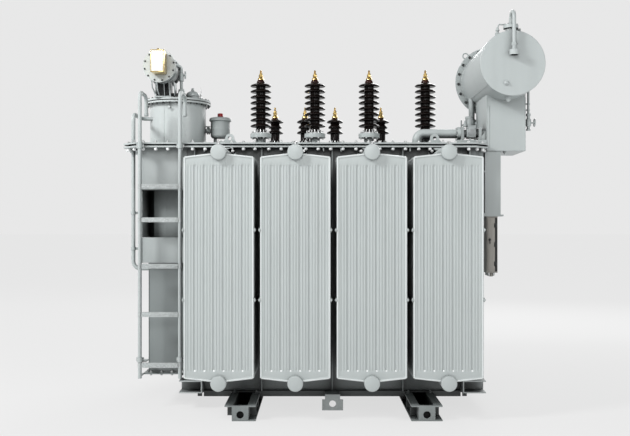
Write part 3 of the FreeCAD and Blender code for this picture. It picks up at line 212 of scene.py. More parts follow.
def enamel(name, color, gloss=0.38, dust=0.35):
    """Sprayed enamel on plate: tone patches, run marks, orange peel, and painted shade where ambient
    occlusion darkens crevices, gaps between parts and recesses.
    """
    material, nodes, shader, place = new_material(name)
    patches = noise(nodes, place, 1.7, 5.0)
    runs = noise(nodes, stretched(nodes, place, (14.0, 14.0, 0.9)), 1.0, 6.0)
    blend = add_node(nodes, "Mix", {"Factor": 0.45}, {"A": patches, "B": runs}).outputs["Result"]
    dull = [c * (1 - 0.16 * dust) for c in color]
    light = [min(1.0, c * (1 + 0.06 * dust)) for c in color]
    tone = two_tone(nodes, blend, 0.36, 0.62, dull, light)
    # Painted shade: the colour is darkened, down to 3 % in deep gaps such as those between radiators,
    # wherever ambient occlusion finds surfaces within 0.35 m.
    occlusion = add_node(nodes, "AmbientOcclusion", {"Distance": 0.35})
    occlusion.samples = 6
    painted_shade = smooth_map(nodes, occlusion.outputs["AO"], 0.10, 0.74, 0.03, 1.0)
    link(nodes, scaled(nodes, tone, painted_shade), shader.inputs["Base Color"])
    roughen(nodes, shader, blend, gloss - 0.05, gloss + 0.12)
    ripple(nodes, shader, noise(nodes, place, 160.0, 2.0), 0.10)
    return material


tank_paint = enamel("tank_paint_grey", (0.450, 0.490, 0.488))
# The skids get a much darker copy of the tank's enamel: painted shade, for the shade they stand in low under
# the tank.
shaded_chassis_paint = enamel("chassis_shaded_paint_grey", (0.250, 0.276, 0.275), 0.5, 1.0)
# The jacking channels, hauling lugs and skid ties get a slightly paler copy of the tank's enamel: painted
# light, because the channels stand clear of the radiators' shade.
lit_channel_paint = enamel("channel_lit_paint_grey", (0.480, 0.518, 0.516), 0.5, 0.8)


def repaint(material, *names):
    """Gives CAD nodes their finish."""
    for name in names:
        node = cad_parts[name]
        node.data.materials.clear()
        node.data.materials.append(material)


def finish_piece(name, shape, material, smooth=35):
    """Turns a mesh under construction into a piece that rides on the transformer."""
    bmesh.ops.recalc_face_normals(shape, faces=shape.faces)
    mesh = bpy.data.meshes.new(name)
    shape.to_mesh(mesh)
    shape.free()
    mesh.materials.append(material)
    mesh.polygons.foreach_set("use_smooth", [True] * len(mesh.polygons))
    mesh.set_sharp_from_angle(angle=math.radians(smooth))
    piece = bpy.data.objects.new(name, mesh)
    scene.collection.objects.link(piece)
    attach(piece, "root")
    return piece


def facing(axis):
    """A turn that points a piece's +Z along an axis."""
    return Vector(axis).to_track_quat("Z", "Y").to_matrix().to_4x4()


def add_turned(shape, profile, at, axis=up, sides=24, twist=0.0):
    """Adds a lathe-turned solid. The profile is (radius, height) pairs from foot to tip."""
    stand = Matrix.Translation(Vector(at)) @ facing(axis) @ Matrix.Rotation(twist, 4, "Z")
    rings = []
    for radius, height in profile:
        if radius < 1e-6:
            rings.append([shape.verts.new(stand @ Vector((0, 0, height)))])
            continue
        ring = []
        for step in range(sides):
            turn = math.tau * step / sides
            spot = Vector((radius * math.cos(turn), radius * math.sin(turn), height))
            ring.append(shape.verts.new(stand @ spot))
        rings.append(ring)
    for low, high in zip(rings, rings[1:]):
        for step in range(sides):
            follow = (step + 1) % sides
            if len(low) == 1 and len(high) > 1:
                shape.faces.new((low[0], high[follow], high[step]))
            elif len(high) == 1 and len(low) > 1:
                shape.faces.new((low[step], low[follow], high[0]))
            elif len(low) > 1:
                shape.faces.new((low[step], low[follow], high[follow], high[step]))
    for ring, flip in ((rings[0], True), (rings[-1], False)):
        if len(ring) > 1:
            shape.faces.new(tuple(reversed(ring)) if flip else tuple(ring))


def add_rod(shape, start, end, radius, sides=16, edge=0.0):
    """Adds a round bar between two points, its rims broken by a small chamfer."""
    way = Vector(end) - Vector(start)
    length = way.length
    profile = [(radius, 0), (radius, length)]
    if edge:
        profile = [(radius - edge, 0), (radius, edge), (radius, length - edge), (radius - edge, length)]
    add_turned(shape, profile, start, way, sides)


def add_block(shape, low, high, edge=0.0):
    """Adds a rectangular plate or block, its edges eased by a small bevel."""
    made = bmesh.ops.create_cube(shape, size=1.0)
    size = Vector(high) - Vector(low)
    middle = (Vector(high) + Vector(low)) / 2
    for vert in made["verts"]:
        vert.co = Vector((vert.co.x * size.x, vert.co.y * size.y, vert.co.z * size.z)) + middle
    if edge:
        edges = list(dict.fromkeys(e for vert in made["verts"] for e in vert.link_edges))
        bmesh.ops.bevel(shape, geom=edges, offset=edge, segments=2, profile=0.5, affect="EDGES")


def add_prism(shape, outline, start, end):
    """Adds a solid with the same outline at both ends. The outline is a list of 3-D points."""
    way = Vector(end) - Vector(start)
    low = [shape.verts.new(Vector(p)) for p in outline]
    high = [shape.verts.new(Vector(p) + way) for p in outline]
    shape.faces.new(low)
    shape.faces.new(tuple(reversed(high)))
    for step in range(len(low)):
        follow = (step + 1) % len(low)
        shape.faces.new((low[follow], low[step], high[step], high[follow]))


def add_bolt(shape, at, axis, size=0.010, stud=0.0):
    """Adds a washer and a hexagon head, or a nut with its stud end, seated at a point."""
    at = Vector(at)
    axis = Vector(axis).normalized()
    add_turned(shape, [(size * 1.15, 0), (size * 1.15, size * 0.18)], at, axis, 16)
    head = [(size * 0.92, 0), (size * 0.92, size * 0.62), (size * 0.80, size * 0.76)]
    add_turned(shape, head, at + axis * size * 0.18, axis, 6, twist=at.x * 9.0)
    if stud:
        add_rod(shape, at + axis * size * 0.9, at + axis * (size * 0.9 + stud), size * 0.48, 10)


def add_bead(shape, start, end, radius=0.004):
    """Adds a weld bead, a thin bar with a wavy face, along a joint."""
    start = Vector(start)
    way = Vector(end) - start
    ripples = max(2, round(way.length / 0.012))
    profile = []
    for step in range(ripples + 1):
        wave = radius * (0.86 + 0.14 * math.cos(math.pi * step))
        profile.append((wave, way.length * step / ripples))
    add_turned(shape, profile, start, way, 6)


# The floor plate is painted near black: painted shade, for the deep shade under the radiators and the tank
# wall.
floor_plate_painted_shade = enamel("floor_plate_painted_shade", (0.085, 0.096, 0.095), 0.5, 1.0)
repaint(shaded_chassis_paint, "skid_left", "skid_right")
repaint(floor_plate_painted_shade, "base_plate")
repaint(lit_channel_paint, "hauling_lugs", "jacking_channels")
skid_bolts = bmesh.new()
skid_welds = bmesh.new()
base_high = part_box("base_plate")[1]
for name in ("skid_left", "skid_right"):
    low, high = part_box(name)
    middle = (low.x + high.x) / 2
    for face in (-1, 1):
        for x in (low.x + 0.030, high.x - 0.030):
            add_bolt(skid_bolts, (x, face * (base_high.y + 0.030), high.z), up, 0.014, 0.012)
            add_bead(skid_welds, (x - 0.028, face * base_high.y, high.z),
                     (x + 0.028, face * base_high.y, high.z), 0.005)
        end_y = face * (high.y - 0.010)
        for x in (middle - 0.0535, middle + 0.0535):
            add_bead(skid_welds, (x, end_y, low.z + 0.012), (x, end_y, high.z - 0.030), 0.004)
        for step in (0.30, 0.62, 0.86):
            for x, way in ((middle - 0.0615, -1), (middle + 0.0615, 1)):
                y = face * high.y * step
                gusset = [(x, y, 0.011), (x + way * 0.048, y, 0.011), (x + way * 0.048, y, 0.022)]
                gusset += [(x + way * 0.048, y, high.z - 0.011), (x, y, high.z - 0.011)]
                add_prism(skid_welds, gusset, (0, 0, 0), (0, 0.008, 0))
finish_piece("skid_bolts", skid_bolts, shaded_chassis_paint)
# Near-black plates lie in the floor of each skid's slot and stand across it near its ends: painted shade,
# dark sheets put where the slot would show only shade.
skid_slot_shade_plates = bmesh.new()
skid_ties = bmesh.new()
for name in ("skid_left", "skid_right"):
    low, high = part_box(name)
    middle = (low.x + high.x) / 2
    add_block(skid_slot_shade_plates, (middle - 0.0555, low.y + 0.016, 0.001), (middle + 0.0555, high.y - 0.016, 0.006),
              0.001)
    for face in (-1, 1):
        y = face * (high.y - 0.040)
        add_block(skid_slot_shade_plates, (middle - 0.0555, y - 0.004, 0.006), (middle + 0.0555, y + 0.004, 0.098), 0.001)
        y = face * (high.y - 0.085)
        add_block(skid_ties, (middle - 0.0555, y - 0.022, 0.080), (middle + 0.0555, y + 0.022, 0.088), 0.001)
slot_painted_shade = enamel("slot_painted_shade", (0.012, 0.013, 0.013), 0.7, 0.8)
finish_piece("skid_slot_shade_plates", skid_slot_shade_plates, slot_painted_shade)
finish_piece("skid_ties", skid_ties, lit_channel_paint)
finish_piece("skid_gussets_and_welds", skid_welds, shaded_chassis_paint)

# Earthing pads stand on the floor plate's front and back edges, each drilled for a lug bolt. They are small
# steel blocks welded on and painted over with the plate, so they take its near-black painted shade.
pads = bmesh.new()
for side in (-1, 1):
    for face in (-1, 1):
        x = side * (base_high.x - 0.150)
        y = face * base_high.y
        add_block(pads, (x - 0.018, min(y, y - face * 0.012), 0.084),
                  (x + 0.018, max(y, y - face * 0.012), 0.136), 0.002)
        add_bolt(pads, (x, y, 0.112), (0, face, 0), 0.009)


def metal(name, color, rough, grain=(4.0, 4.0, 160.0), mark=0.10, metallic=1.0):
    """Bare metal with a brushed or turned grain that varies its gloss."""
    material, nodes, shader, place = new_material(name)
    shader.inputs["Metallic"].default_value = metallic
    strokes = noise(nodes, stretched(nodes, place, grain), 3.0, 4.0)
    dark = [c * (1 - mark) for c in color]
    pale = [min(1.0, c * (1 + mark)) for c in color]
    link(nodes, two_tone(nodes, strokes, 0.3, 0.7, dark, pale), shader.inputs["Base Color"])
    roughen(nodes, shader, strokes, rough - 0.08, rough + 0.10)
    return material


finish_piece("earthing_pads", pads, floor_plate_painted_shade)

# ---- tank ------------------------------------------------------------------------------------
# The tank is a welded box of 8 mm plate. Flat bars stiffen its long walls between the
# radiators and its right end, and continuous fillet welds join them to the wall.
# The tank walls, their ribs and their welds get a much darker copy of the tank's enamel: painted shade, for
# the shade under and between the radiators.
shaded_wall_paint = enamel("wall_shaded_paint_grey", (0.270, 0.298, 0.297))
repaint(shaded_wall_paint, "tank_wall", "wall_ribs")
tank_low, tank_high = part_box("tank_wall")
ribs_low, ribs_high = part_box("wall_ribs")
rib_half = 0.005
rib_pitch = (tank_high.x - 0.042) / 2
welds = bmesh.new()
for face in (-1, 1):
    wall_y = face * tank_high.y
    for step in (-1, 0, 1):
        for side in (-1, 1):
            x = step * rib_pitch + side * rib_half
            add_bead(welds, (x, wall_y, tank_low.z + 0.02), (x, wall_y, tank_high.z - 0.02), 0.004)
    for side in (-1, 1):
        corner = (side * (tank_high.x - 0.0005), wall_y - face * 0.0005)
        add_bead(welds, (*corner, tank_low.z + 0.01), (*corner, tank_high.z - 0.01), 0.004)
    add_bead(welds, (tank_low.x, wall_y, tank_low.z + 0.002), (tank_high.x, wall_y, tank_low.z + 0.002),
             0.005)
    add_bead(welds, (tank_low.x, wall_y, tank_high.z - 0.002), (tank_high.x, wall_y, tank_high.z - 0.002),
             0.005)
finish_piece("tank_welds", welds, shaded_wall_paint)

# The cover is bolted down on the tank's rim over a cork-rubber gasket. Zinc-plated bolts pass
# through both plates at about a hand's width, and triangular brackets brace the rim below.
cover_low, cover_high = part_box("tank_cover")
rim_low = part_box("rim_flange")[0]
repaint(tank_paint, "rim_flange", "tank_cover")
gasket_rubber = enamel("gasket_rubber", (0.035, 0.035, 0.035), 0.75, 0.8)
repaint(gasket_rubber, "cover_gasket")
galvanized = metal("zinc_plated_steel", (0.60, 0.61, 0.61), 0.38, (30.0, 30.0, 30.0), 0.18)
corner_cut = 0.110
bolt_inset = 0.018
bolt_pitch = 0.098


def rim_path(inset):
    """Corners of the cover's outline, drawn in by an inset, counter-clockwise from above."""
    left, right = cover_low.x + inset, cover_high.x - inset
    front, back = cover_low.y + inset, cover_high.y - inset
    return [
        (left + corner_cut, front), (right - corner_cut, front), (right, front + corner_cut),
        (right, back - corner_cut), (right - corner_cut, back), (left + corner_cut, back),
        (left, back - corner_cut), (left, front + corner_cut),
    ]


def laps(points):
    """Neighbouring pairs of points, all the way round a closed outline."""
    return zip(points, points[1:] + points[:1])


random.seed(11)
cover_bolts = bmesh.new()
rim_nuts = bmesh.new()
corners = rim_path(bolt_inset)
for start, end in laps(corners):
    start, end = Vector(start), Vector(end)
    run = end - start
    count = max(1, round(run.length / bolt_pitch))
    for step in range(count):
        spot = start + run * ((step + 0.5 + random.uniform(-0.07, 0.07)) / count)
        add_bolt(cover_bolts, (spot.x, spot.y, cover_high.z), up, 0.0125, random.choice((0.004, 0.010)))
        dome = [(0.0145, 0), (0.0145, 0.002), (0.0080, 0.003), (0.0080, 0.005), (0.0135, 0.008)]
        dome += [(0.0145, 0.014), (0.0125, 0.020), (0.0080, 0.024), (0, 0.026)]
        add_turned(rim_nuts, dome, spot.to_tuple()[:2] + (rim_low.z,), down, 14)
finish_piece("cover_bolts", cover_bolts, galvanized)
# The nuts under the rim are near white and not metallic: zinc's own pale tone with a painted glint on top.
zinc_and_glint = metal("zinc_nuts_painted_glint", (0.92, 0.94, 0.94), 0.40, (40.0, 40.0, 40.0), 0.06, 0.0)
finish_piece("rim_nuts", rim_nuts, zinc_and_glint)

brackets = bmesh.new()
for face in (-1, 1):
    for x in (-0.910, -0.350, 0.350, 0.910):
        root_y = face * tank_high.y
        tip_y = face * (cover_high.y - 0.012)
        bracket = [(x, root_y, rim_low.z), (x, tip_y, rim_low.z), (x, tip_y, rim_low.z - 0.014)]
        bracket += [(x, root_y, rim_low.z - 0.070)]
        add_prism(brackets, bracket, (0, 0, 0), (0.008, 0, 0))
    for x in (-1.02, -0.07, 0.07, 0.62):
        add_block(brackets, (x - 0.005, min(root_y, tip_y), rim_low.z - 0.032),
                  (x + 0.005, max(root_y, tip_y), rim_low.z), 0.001)
finish_piece("rim_brackets", brackets, tank_paint)

# ---- tap changer bay -------------------------------------------------------------------------
# The tap changer hangs in a bay of folded plate on the tank's left end: a pocket under the
# cover, a neck folded round the vessel, a shelf box and a narrower foot with a bottom flange.
# The neck, the foot and their welds get a much darker copy of the tank's enamel: painted shade, for the
# shade the bay stands in. The pocket above has its own copy, near the tank's tone.
shaded_bay_paint = enamel("bay_shaded_paint_grey", (0.255, 0.284, 0.283))
repaint(shaded_bay_paint, "bay_neck", "bay_foot")
repaint(tank_paint, "bay_box")
pocket_paint = enamel("pocket_paint_grey", (0.430, 0.466, 0.464))
repaint(pocket_paint, "bay_pocket")
bay = bmesh.new()
pocket_low, pocket_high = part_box("bay_pocket")
neck_low, neck_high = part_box("bay_neck")
shelf_low, shelf_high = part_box("bay_box")
foot_low, foot_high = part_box("bay_foot")
foot_end = foot_low.x + 0.036
foot_front = foot_low.y + 0.036
for face in (-1, 1):
    edge = face * (pocket_high.y - 0.0005)
    add_bead(bay, (pocket_low.x, edge, pocket_low.z), (pocket_high.x, edge, pocket_low.z), 0.004)
    add_bead(bay, (pocket_low.x, edge, pocket_low.z), (pocket_low.x, edge, pocket_high.z), 0.004)
    add_bead(bay, (shelf_low.x, edge, shelf_low.z), (shelf_low.x, edge, shelf_high.z), 0.004)
    foot_corner = (foot_end, -face * foot_front, foot_low.z + 0.014)
    add_bead(bay, foot_corner, (*foot_corner[:2], foot_high.z), 0.004)
    add_bead(bay, foot_corner, (tank_low.x, *foot_corner[1:]), 0.005)
add_bead(bay, (pocket_low.x, pocket_low.y, pocket_low.z), (pocket_low.x, pocket_high.y, pocket_low.z), 0.004)
finish_piece("bay_welds", bay, shaded_bay_paint)

# A folded sheet closes the recess on each side of the neck. It stands on the shelf box, leans
# in towards the neck and is welded under the pocket.
# The sheets are painted far paler than the tank's enamel: painted light, to lift the shade in the recess.
lit_recess_paint = enamel("recess_painted_light_grey", (0.700, 0.740, 0.737))
recess_sheets = bmesh.new()
recess_x = -1.546
recess_lean = 0.016
sheet_thickness = 0.006
sheet_low = shelf_high.z + 0.001
for face in (-1, 1):
    outer = face * 0.500
    inner = face * 0.250
    sheet = [(recess_x, outer, sheet_low), (recess_x + sheet_thickness, outer, sheet_low)]
    sheet += [(recess_x + recess_lean + sheet_thickness, inner, sheet_low)]
    sheet += [(recess_x + recess_lean, inner, sheet_low)]
    add_prism(recess_sheets, sheet, (0, 0, 0), (0, 0, pocket_low.z - sheet_low - 0.001))
finish_piece("bay_recess_sheets", recess_sheets, lit_recess_paint)

bay_bolts = bmesh.new()
for face in (-1, 1):
    for step in range(4):
        x = foot_low.x + 0.055 + step * 0.085
        add_bolt(bay_bolts, (x, face * (foot_high.y - 0.018), foot_low.z + 0.012), up, 0.011, 0.006)
        add_bolt(bay_bolts, (x, face * (foot_high.y - 0.018), foot_low.z), down, 0.011)
for step in range(9):
    y = foot_low.y + 0.07 + step * (foot_high.y - foot_low.y - 0.14) / 8
    add_bolt(bay_bolts, (foot_low.x + 0.018, y, foot_low.z + 0.012), up, 0.011, 0.006)
finish_piece("bay_bolts", bay_bolts, galvanized)

# ---- radiators -------------------------------------------------------------------------------
# Each radiator is ten hollow panels of thin pressed sheet, seam-welded round the edge and
# between the channels, on a top and a bottom header. Tie bars at the edges hold the stack.
radiator_low, radiator_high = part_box("radiator_front_1")
valve_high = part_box("radiator_valves")[1]
header_radius = 0.058
header_low = radiator_low.z + header_radius
header_high = radiator_high.z - header_radius
panel_half = (radiator_high.x - radiator_low.x) / 2
panel_shoulder = 0.038
panel_count = 10
panel_pitch = 0.045
panel_half_thickness = 0.006
header_inner = 0.103
outer_panel = header_inner + (panel_count - 1) * panel_pitch
header_outer = 0.565
channel_count = 7
seam_edge = 0.014
channel_pitch = 2 * (panel_half - seam_edge) / channel_count
groove_half = 0.0120
groove_top = header_high - 0.095
groove_low = header_low + 0.089


def ease(value, start, end):
    """A smooth step from 0 at start to 1 at end."""
    share = min(1.0, max(0.0, (value - start) / (end - start)))
    return share * share * (3 - 2 * share)


def panel_bulge(x, z, ribbed):
    """Half the panel's thickness at a point: a seam, a rolled rim, channels and grooves."""
    reach = panel_half - abs(x)
    slope = panel_shoulder * abs(x) / panel_half
    ends = min(header_high - slope - z, z - header_low - slope)
    inward = min(reach, ends)
    if ribbed:
        bulge = 0.0026 + 0.0060 * ease(inward, 0.010, 0.021)
        bulge += 0.0095 * math.exp(-((inward - 0.0085) / 0.0058) ** 2)
    else:
        bulge = 0.0016 + 0.0036 * ease(inward, 0.007, 0.015)
        bulge += 0.0022 * math.exp(-((inward - 0.0028) / 0.0022) ** 2)
    if inward < 0.013:
        return bulge
    share = (x + panel_half - seam_edge) / channel_pitch
    off = abs(share - round(share)) * channel_pitch
    inside = 0 < round(share) < channel_count
    along = ease(z, groove_low - 0.004,
                 groove_low + 0.006) * (1 - ease(z, groove_top - 0.006, groove_top + 0.004))
    if inside:
        depth = 0.0078 if ribbed else 0.0042
        bulge -= depth * along * (1 - ease(off, groove_half * 0.20, groove_half * 1.30))
    if ribbed:
        local = share - math.floor(share)
        ridge = 0.5 + 0.5 * math.cos(math.tau * 3 * (local - 0.5))
        fade = ease(off, groove_half, groove_half * 1.7)
        bulge -= 0.0038 * along * fade * (1 - ridge)
    return bulge


def panel_columns(ribbed):
    """Places across a panel that follow its rim, grooves and ridges."""
    places = [0.0, 0.0020, 0.0040, 0.0062, 0.0085, 0.0108, 0.0132, 0.017, 0.021]
    columns = [-panel_half + p for p in places] + [panel_half - p for p in places]
    for step in range(1, channel_count):
        middle = -panel_half + seam_edge + step * channel_pitch
        columns += [middle + groove_half * k for k in (-1.3, -0.8, -0.4, 0, 0.4, 0.8, 1.3)]
    if ribbed:
        for step in range(channel_count):
            start = -panel_half + seam_edge + step * channel_pitch
            columns += [start + channel_pitch * (0.14 + 0.72 * k / 18) for k in range(19)]
    columns.append(0.0)
    return sorted({round(c, 5) for c in columns})


def add_panel(shape, x0, y0, ribbed):
    """Adds one pressed panel in the plane y0, its middle at x0."""
    columns = panel_columns(ribbed)
    ends = [0.0, 0.0022, 0.0050, 0.0085, 0.0115, 0.0150, 0.022]
    grid = {}
    for side in (-1, 1):
        for c, x in enumerate(columns):
            slope = panel_shoulder * abs(x) / panel_half
            low = header_low + slope
            high = header_high - slope
            levels = [low + e for e in ends] + [groove_low + d for d in (-0.006, 0, 0.005, 0.012)]
            levels += [header_low + 0.30 + (header_high - header_low - 0.60) * k / 3 for k in range(4)]
            levels += [groove_top - d for d in (0.012, 0.005, 0, -0.006)]
            levels += [high - e for e in reversed(ends)]
            for r, z in enumerate(levels):
                bulge = panel_bulge(x, z, ribbed)
                grid[side, c, r] = shape.verts.new((x0 + x, y0 + side * bulge, z))
        rows = len(levels)
        for c in range(len(columns) - 1):
            for r in range(rows - 1):
                quad = (grid[side, c, r], grid[side, c + 1, r], grid[side, c + 1, r + 1],
                        grid[side, c, r + 1])
                shape.faces.new(quad if side < 0 else tuple(reversed(quad)))
    last = len(columns) - 1
    border = [(c, 0) for c in range(last)] + [(last, r) for r in range(rows - 1)]
    border += [(c, rows - 1) for c in range(last, 0, -1)] + [(0, r) for r in range(rows - 1, 0, -1)]
    for (c, r), (d, q) in laps(border):
        shape.faces.new((grid[-1, d, q], grid[-1, c, r], grid[1, c, r], grid[1, d, q]))


def build_radiator(name, x0, face):
    """One radiator on its two headers, on the front (-1) or the back (1) of the tank."""
    mouth = radiator_high.y if face < 0 else -radiator_high.y
    panels = bmesh.new()
    for step in range(panel_count):
        y = mouth + face * (header_inner + step * panel_pitch + panel_half_thickness)
        add_panel(panels, x0, y, step == panel_count - 1)
    stack = finish_piece(name + "_panels", panels, radiator_paint, smooth=50)
    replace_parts(stack, name)
    frame_bars = bmesh.new()
    out = (0, face, 0)
    for level in (header_low, header_high):
        neck = header_radius * 0.93
        profile = [(neck, 0), (neck, header_outer - 0.046), (header_radius, header_outer - 0.044)]
        profile += [(header_radius, header_outer - 0.010), (header_radius - 0.003, header_outer - 0.003)]
        profile += [(header_radius - 0.010, header_outer), (0, header_outer)]
        add_turned(frame_bars, profile, (x0, mouth, level), out, 40)
        for step in range(panel_count - 1):
            y = mouth + face * (header_inner + panel_pitch * step + 0.0135)
            add_rod(frame_bars, (x0, y, level), (x0, y + face * 0.031, level), 0.056, 32, 0.002)
    for level in (1.415, 0.900):
        for side in (-1, 1):
            x = x0 + side * (panel_half + 0.003)
            near = mouth + face * (header_inner - 0.004)
            far = mouth + face * (outer_panel + 0.014)
            add_block(frame_bars, (x - 0.003, min(near, far), level - 0.016),
                      (x + 0.003, max(near, far), level + 0.016), 0.001)
            add_bolt(frame_bars, (x - side * 0.001, far, level), out, 0.010, 0.006)
    finish_piece(name + "_headers", frame_bars, radiator_paint)
    # The spot weld domes at the foot of the grooves are near white: painted highlight.
    spots = bmesh.new()
    skin = mouth + face * (outer_panel + 0.0085)
    for step in range(1, channel_count):
        x = x0 - panel_half + seam_edge + step * channel_pitch
        dome = [(0.0105, 0), (0.0088, 0.0028), (0.0050, 0.0050), (0, 0.0058)]
        add_turned(spots, dome, (x, skin, groove_low - 0.004), out, 12)
    finish_piece(name + "_spot_welds", spots, spot_weld_highlight)
    # A round bar follows the front panel's rolled rim in an enamel much paler than the panels: painted
    # highlight where the rim catches the light.
    rim = bmesh.new()
    edge = panel_half - 0.0085
    rim_y = mouth + face * (outer_panel + panel_half_thickness + 0.0065)
    route = [(-edge, header_low + panel_shoulder), (-edge, header_high - panel_shoulder)]
    route += [(0, header_high - 0.009), (edge, header_high - panel_shoulder),
              (edge, header_low + panel_shoulder)]
    route += [(0, header_low + 0.009)]
    for first, second in laps(route):
        add_rod(rim, (x0 + first[0], rim_y, first[1]), (x0 + second[0], rim_y, second[1]), 0.0072, 12)
    finish_piece(name + "_rim", rim, rim_painted_highlight)
    plugs = bmesh.new()
    plug_y = mouth + face * (header_outer - 0.028)
    drain = [(0.010, 0), (0.010, 0.010), (0.013, 0.010), (0.013, 0.020), (0.008, 0.024), (0, 0.024)]
    add_turned(plugs, drain, (x0, plug_y, header_high + header_radius - 0.002), up, 6)
    finish_piece(name + "_plugs", plugs, galvanized)


radiator_paint = enamel("radiator_paint_grey", (0.440, 0.478, 0.475), 0.32, 0.25)
# The rim enamel is a painted highlight.
rim_painted_highlight = enamel("radiator_rim_painted_highlight", (0.640, 0.680, 0.676), 0.30, 0.25)
# The spot weld enamel is a painted highlight.
spot_weld_highlight = enamel("spot_weld_painted_highlight", (0.860, 0.880, 0.880), 0.25, 0.1)
for face, side in ((-1, "front"), (1, "back")):
    for number in range(1, 5):
        low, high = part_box(f"radiator_{side}_{number}")
        build_radiator(f"radiator_{side}_{number}", (low.x + high.x) / 2, face)

# Butterfly valves shut each header off from the tank. Two cut-cornered steel flanges clamp the
# valve ring with four bolts, and a short lever on top or below works the flap.
valves = bmesh.new()
valve_bolts = bmesh.new()
flange_reach = 0.078
flange_cut = 0.034
for face, side in ((-1, "front"), (1, "back")):
    for number in range(1, 5):
        low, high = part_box(f"radiator_{side}_{number}")
        x = (low.x + high.x) / 2
        mouth = face * valve_high.y
        root = face * tank_high.y
        for level in (header_low, header_high):
            add_rod(valves, (x, root, level), (x, mouth, level), 0.044, 28)
            for near, thick in ((0.012, 0.016), (0.040, 0.010), (0.072, 0.018)):
                y = root + face * near
                reach, cut = (flange_reach, flange_cut) if thick > 0.012 else (0.060, 0.026)
                outline = []
                for turn in range(4):
                    for a, b in ((reach, cut - reach), (reach, reach - cut)):
                        spin = Matrix.Rotation(math.tau * turn / 4, 3, "Y")
                        outline.append(spin @ Vector((a, 0, b)) + Vector((x, y, level)))
                add_prism(valves, outline, (0, 0, 0), (0, face * thick, 0))
            for a in (-1, 1):
                for b in (-1, 1):
                    spot = (x + a * 0.054, root + face * 0.090, level + b * 0.054)
                    add_bolt(valve_bolts, spot, (0, face, 0), 0.010, 0.006)
                    add_rod(valve_bolts, (spot[0], root + face * 0.012, spot[2]), spot, 0.006, 8)
            way = 1 if level == header_low else -1
            lever_y = root + face * 0.050
            stem = (x + 0.02, lever_y, level + way * 0.05)
            add_rod(valve_bolts, stem, (*stem[:2], level + way * 0.098), 0.008, 10, 0.001)
            add_block(valve_bolts, (x + 0.010, lever_y - 0.006, level + way * 0.094 - 0.004),
                      (x + 0.070, lever_y + 0.006, level + way * 0.094 + 0.004), 0.002)
valve_piece = finish_piece("radiator_valve_bodies", valves, tank_paint)
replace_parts(valve_piece, "radiator_valves")
finish_piece("radiator_valve_bolts", valve_bolts, galvanized)

# ---- bushings --------------------------------------------------------------------------------
# Four tall and four short bushings bring the windings out through the cover. Each is brown
# glazed porcelain on a welded steel neck, clamped by a ring, with a brass stud on top.
repaint(tank_paint, "bushing_flanges")


def glaze(name, color):
    """Dark fired glaze: deep gloss with slow changes of tone and a faint ripple."""
    material, nodes, shader, place = new_material(name)
    set_values(shader, {"Roughness": 0.34, "Specular IOR Level": 0.12})
    set_values(shader, {"Coat Weight": 0.22, "Coat Roughness": 0.05, "Coat IOR": 1.35})
    cloud = noise(nodes, place, 14.0, 3.0)
    tone = two_tone(nodes, cloud, 0.35, 0.70, [c * 0.55 for c in color], [c * 1.5 for c in color])
    link(nodes, tone, shader.inputs["Base Color"])
    ripple(nodes, shader, cloud, 0.06)
    return material


porcelain = glaze("brown_porcelain", (0.0070, 0.0042, 0.0036))
neck_cap = glaze("brown_neck_cap", (0.034, 0.012, 0.009))
brass = metal("turned_brass", (0.72, 0.52, 0.20), 0.26, (60.0, 60.0, 60.0), 0.14)
repaint(brass, "bushing_terminals")


def shed_curve(core, tip, level):
    """Profile points of one drooping shed, from its underside round the lip to its top."""
    span = tip - core
    return [
        (core, level - 0.010), (core + span * 0.25, level - 0.0125), (core + span * 0.60, level - 0.0145),
        (core + span * 0.86, level - 0.0125), (tip - 0.0015, level - 0.0095), (tip, level - 0.0065),
        (tip - 0.0020, level - 0.0025), (core + span * 0.80, level + 0.0030), (core + span * 0.50,
                                                                               level + 0.0090),
        (core + span * 0.20, level + 0.0130), (core, level + 0.0160),
    ]


def build_bushing(name, sheds, first, pitch, core, cap_radius):
    """The porcelain of one bushing with its sheds, and the dark cap at its neck."""
    low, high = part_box(name)
    x, y = (low.x + high.x) / 2, (low.y + high.y) / 2
    ring = 0.025
    profile = [(core + 0.006, 0), (core + 0.008, 0.008), (core + 0.004, 0.022), (core, 0.030)]
    for step, tip in enumerate(sheds):
        profile += shed_curve(core, tip, first + step * pitch)
    top = high.z - low.z - ring
    profile += [(core, top - 0.010), (core - 0.004, top - 0.002), (cap_radius, top), (0, top)]
    body = bmesh.new()
    add_turned(body, profile, (x, y, low.z), up, 56)
    piece = finish_piece(name + "_porcelain", body, porcelain, 60)
    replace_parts(piece, name)
    cap = bmesh.new()
    crown = [(cap_radius + 0.005, top - 0.004), (cap_radius + 0.006, top + 0.008), (cap_radius, top + 0.018)]
    crown += [(cap_radius - 0.006, top + ring), (0, top + ring)]
    add_turned(cap, crown, (x, y, low.z), up, 32)
    finish_piece(name + "_neck_cap", cap, neck_cap, 40)


hv_shed = 0.088
for number in range(1, 5):
    build_bushing(f"hv_insulator_{number}", [hv_shed] * 8, 0.070, 0.0482, 0.040, 0.029)
    build_bushing(f"lv_insulator_{number}", [0.073, 0.060, 0.073], 0.104, 0.0482, 0.040, 0.029)

# Each bushing neck has gussets down to the cover, a bolted flange and a toothed clamp ring
# that presses the porcelain foot on its gasket. Bolts and nuts are zinc plated.


def circle(x, y, radius, count, offset=0.0):
    """Pairs spread round a circle, the first one a share of a step past its first axis."""
    turns = [math.tau * (step + offset) / count for step in range(count)]
    return [(x + radius * math.cos(turn), y + radius * math.sin(turn)) for turn in turns]


def ways(count, offset=0.0):
    """Level unit vectors spread round a circle."""
    return [Vector((x, y, 0)) for x, y in circle(0, 0, 1, count, offset)]


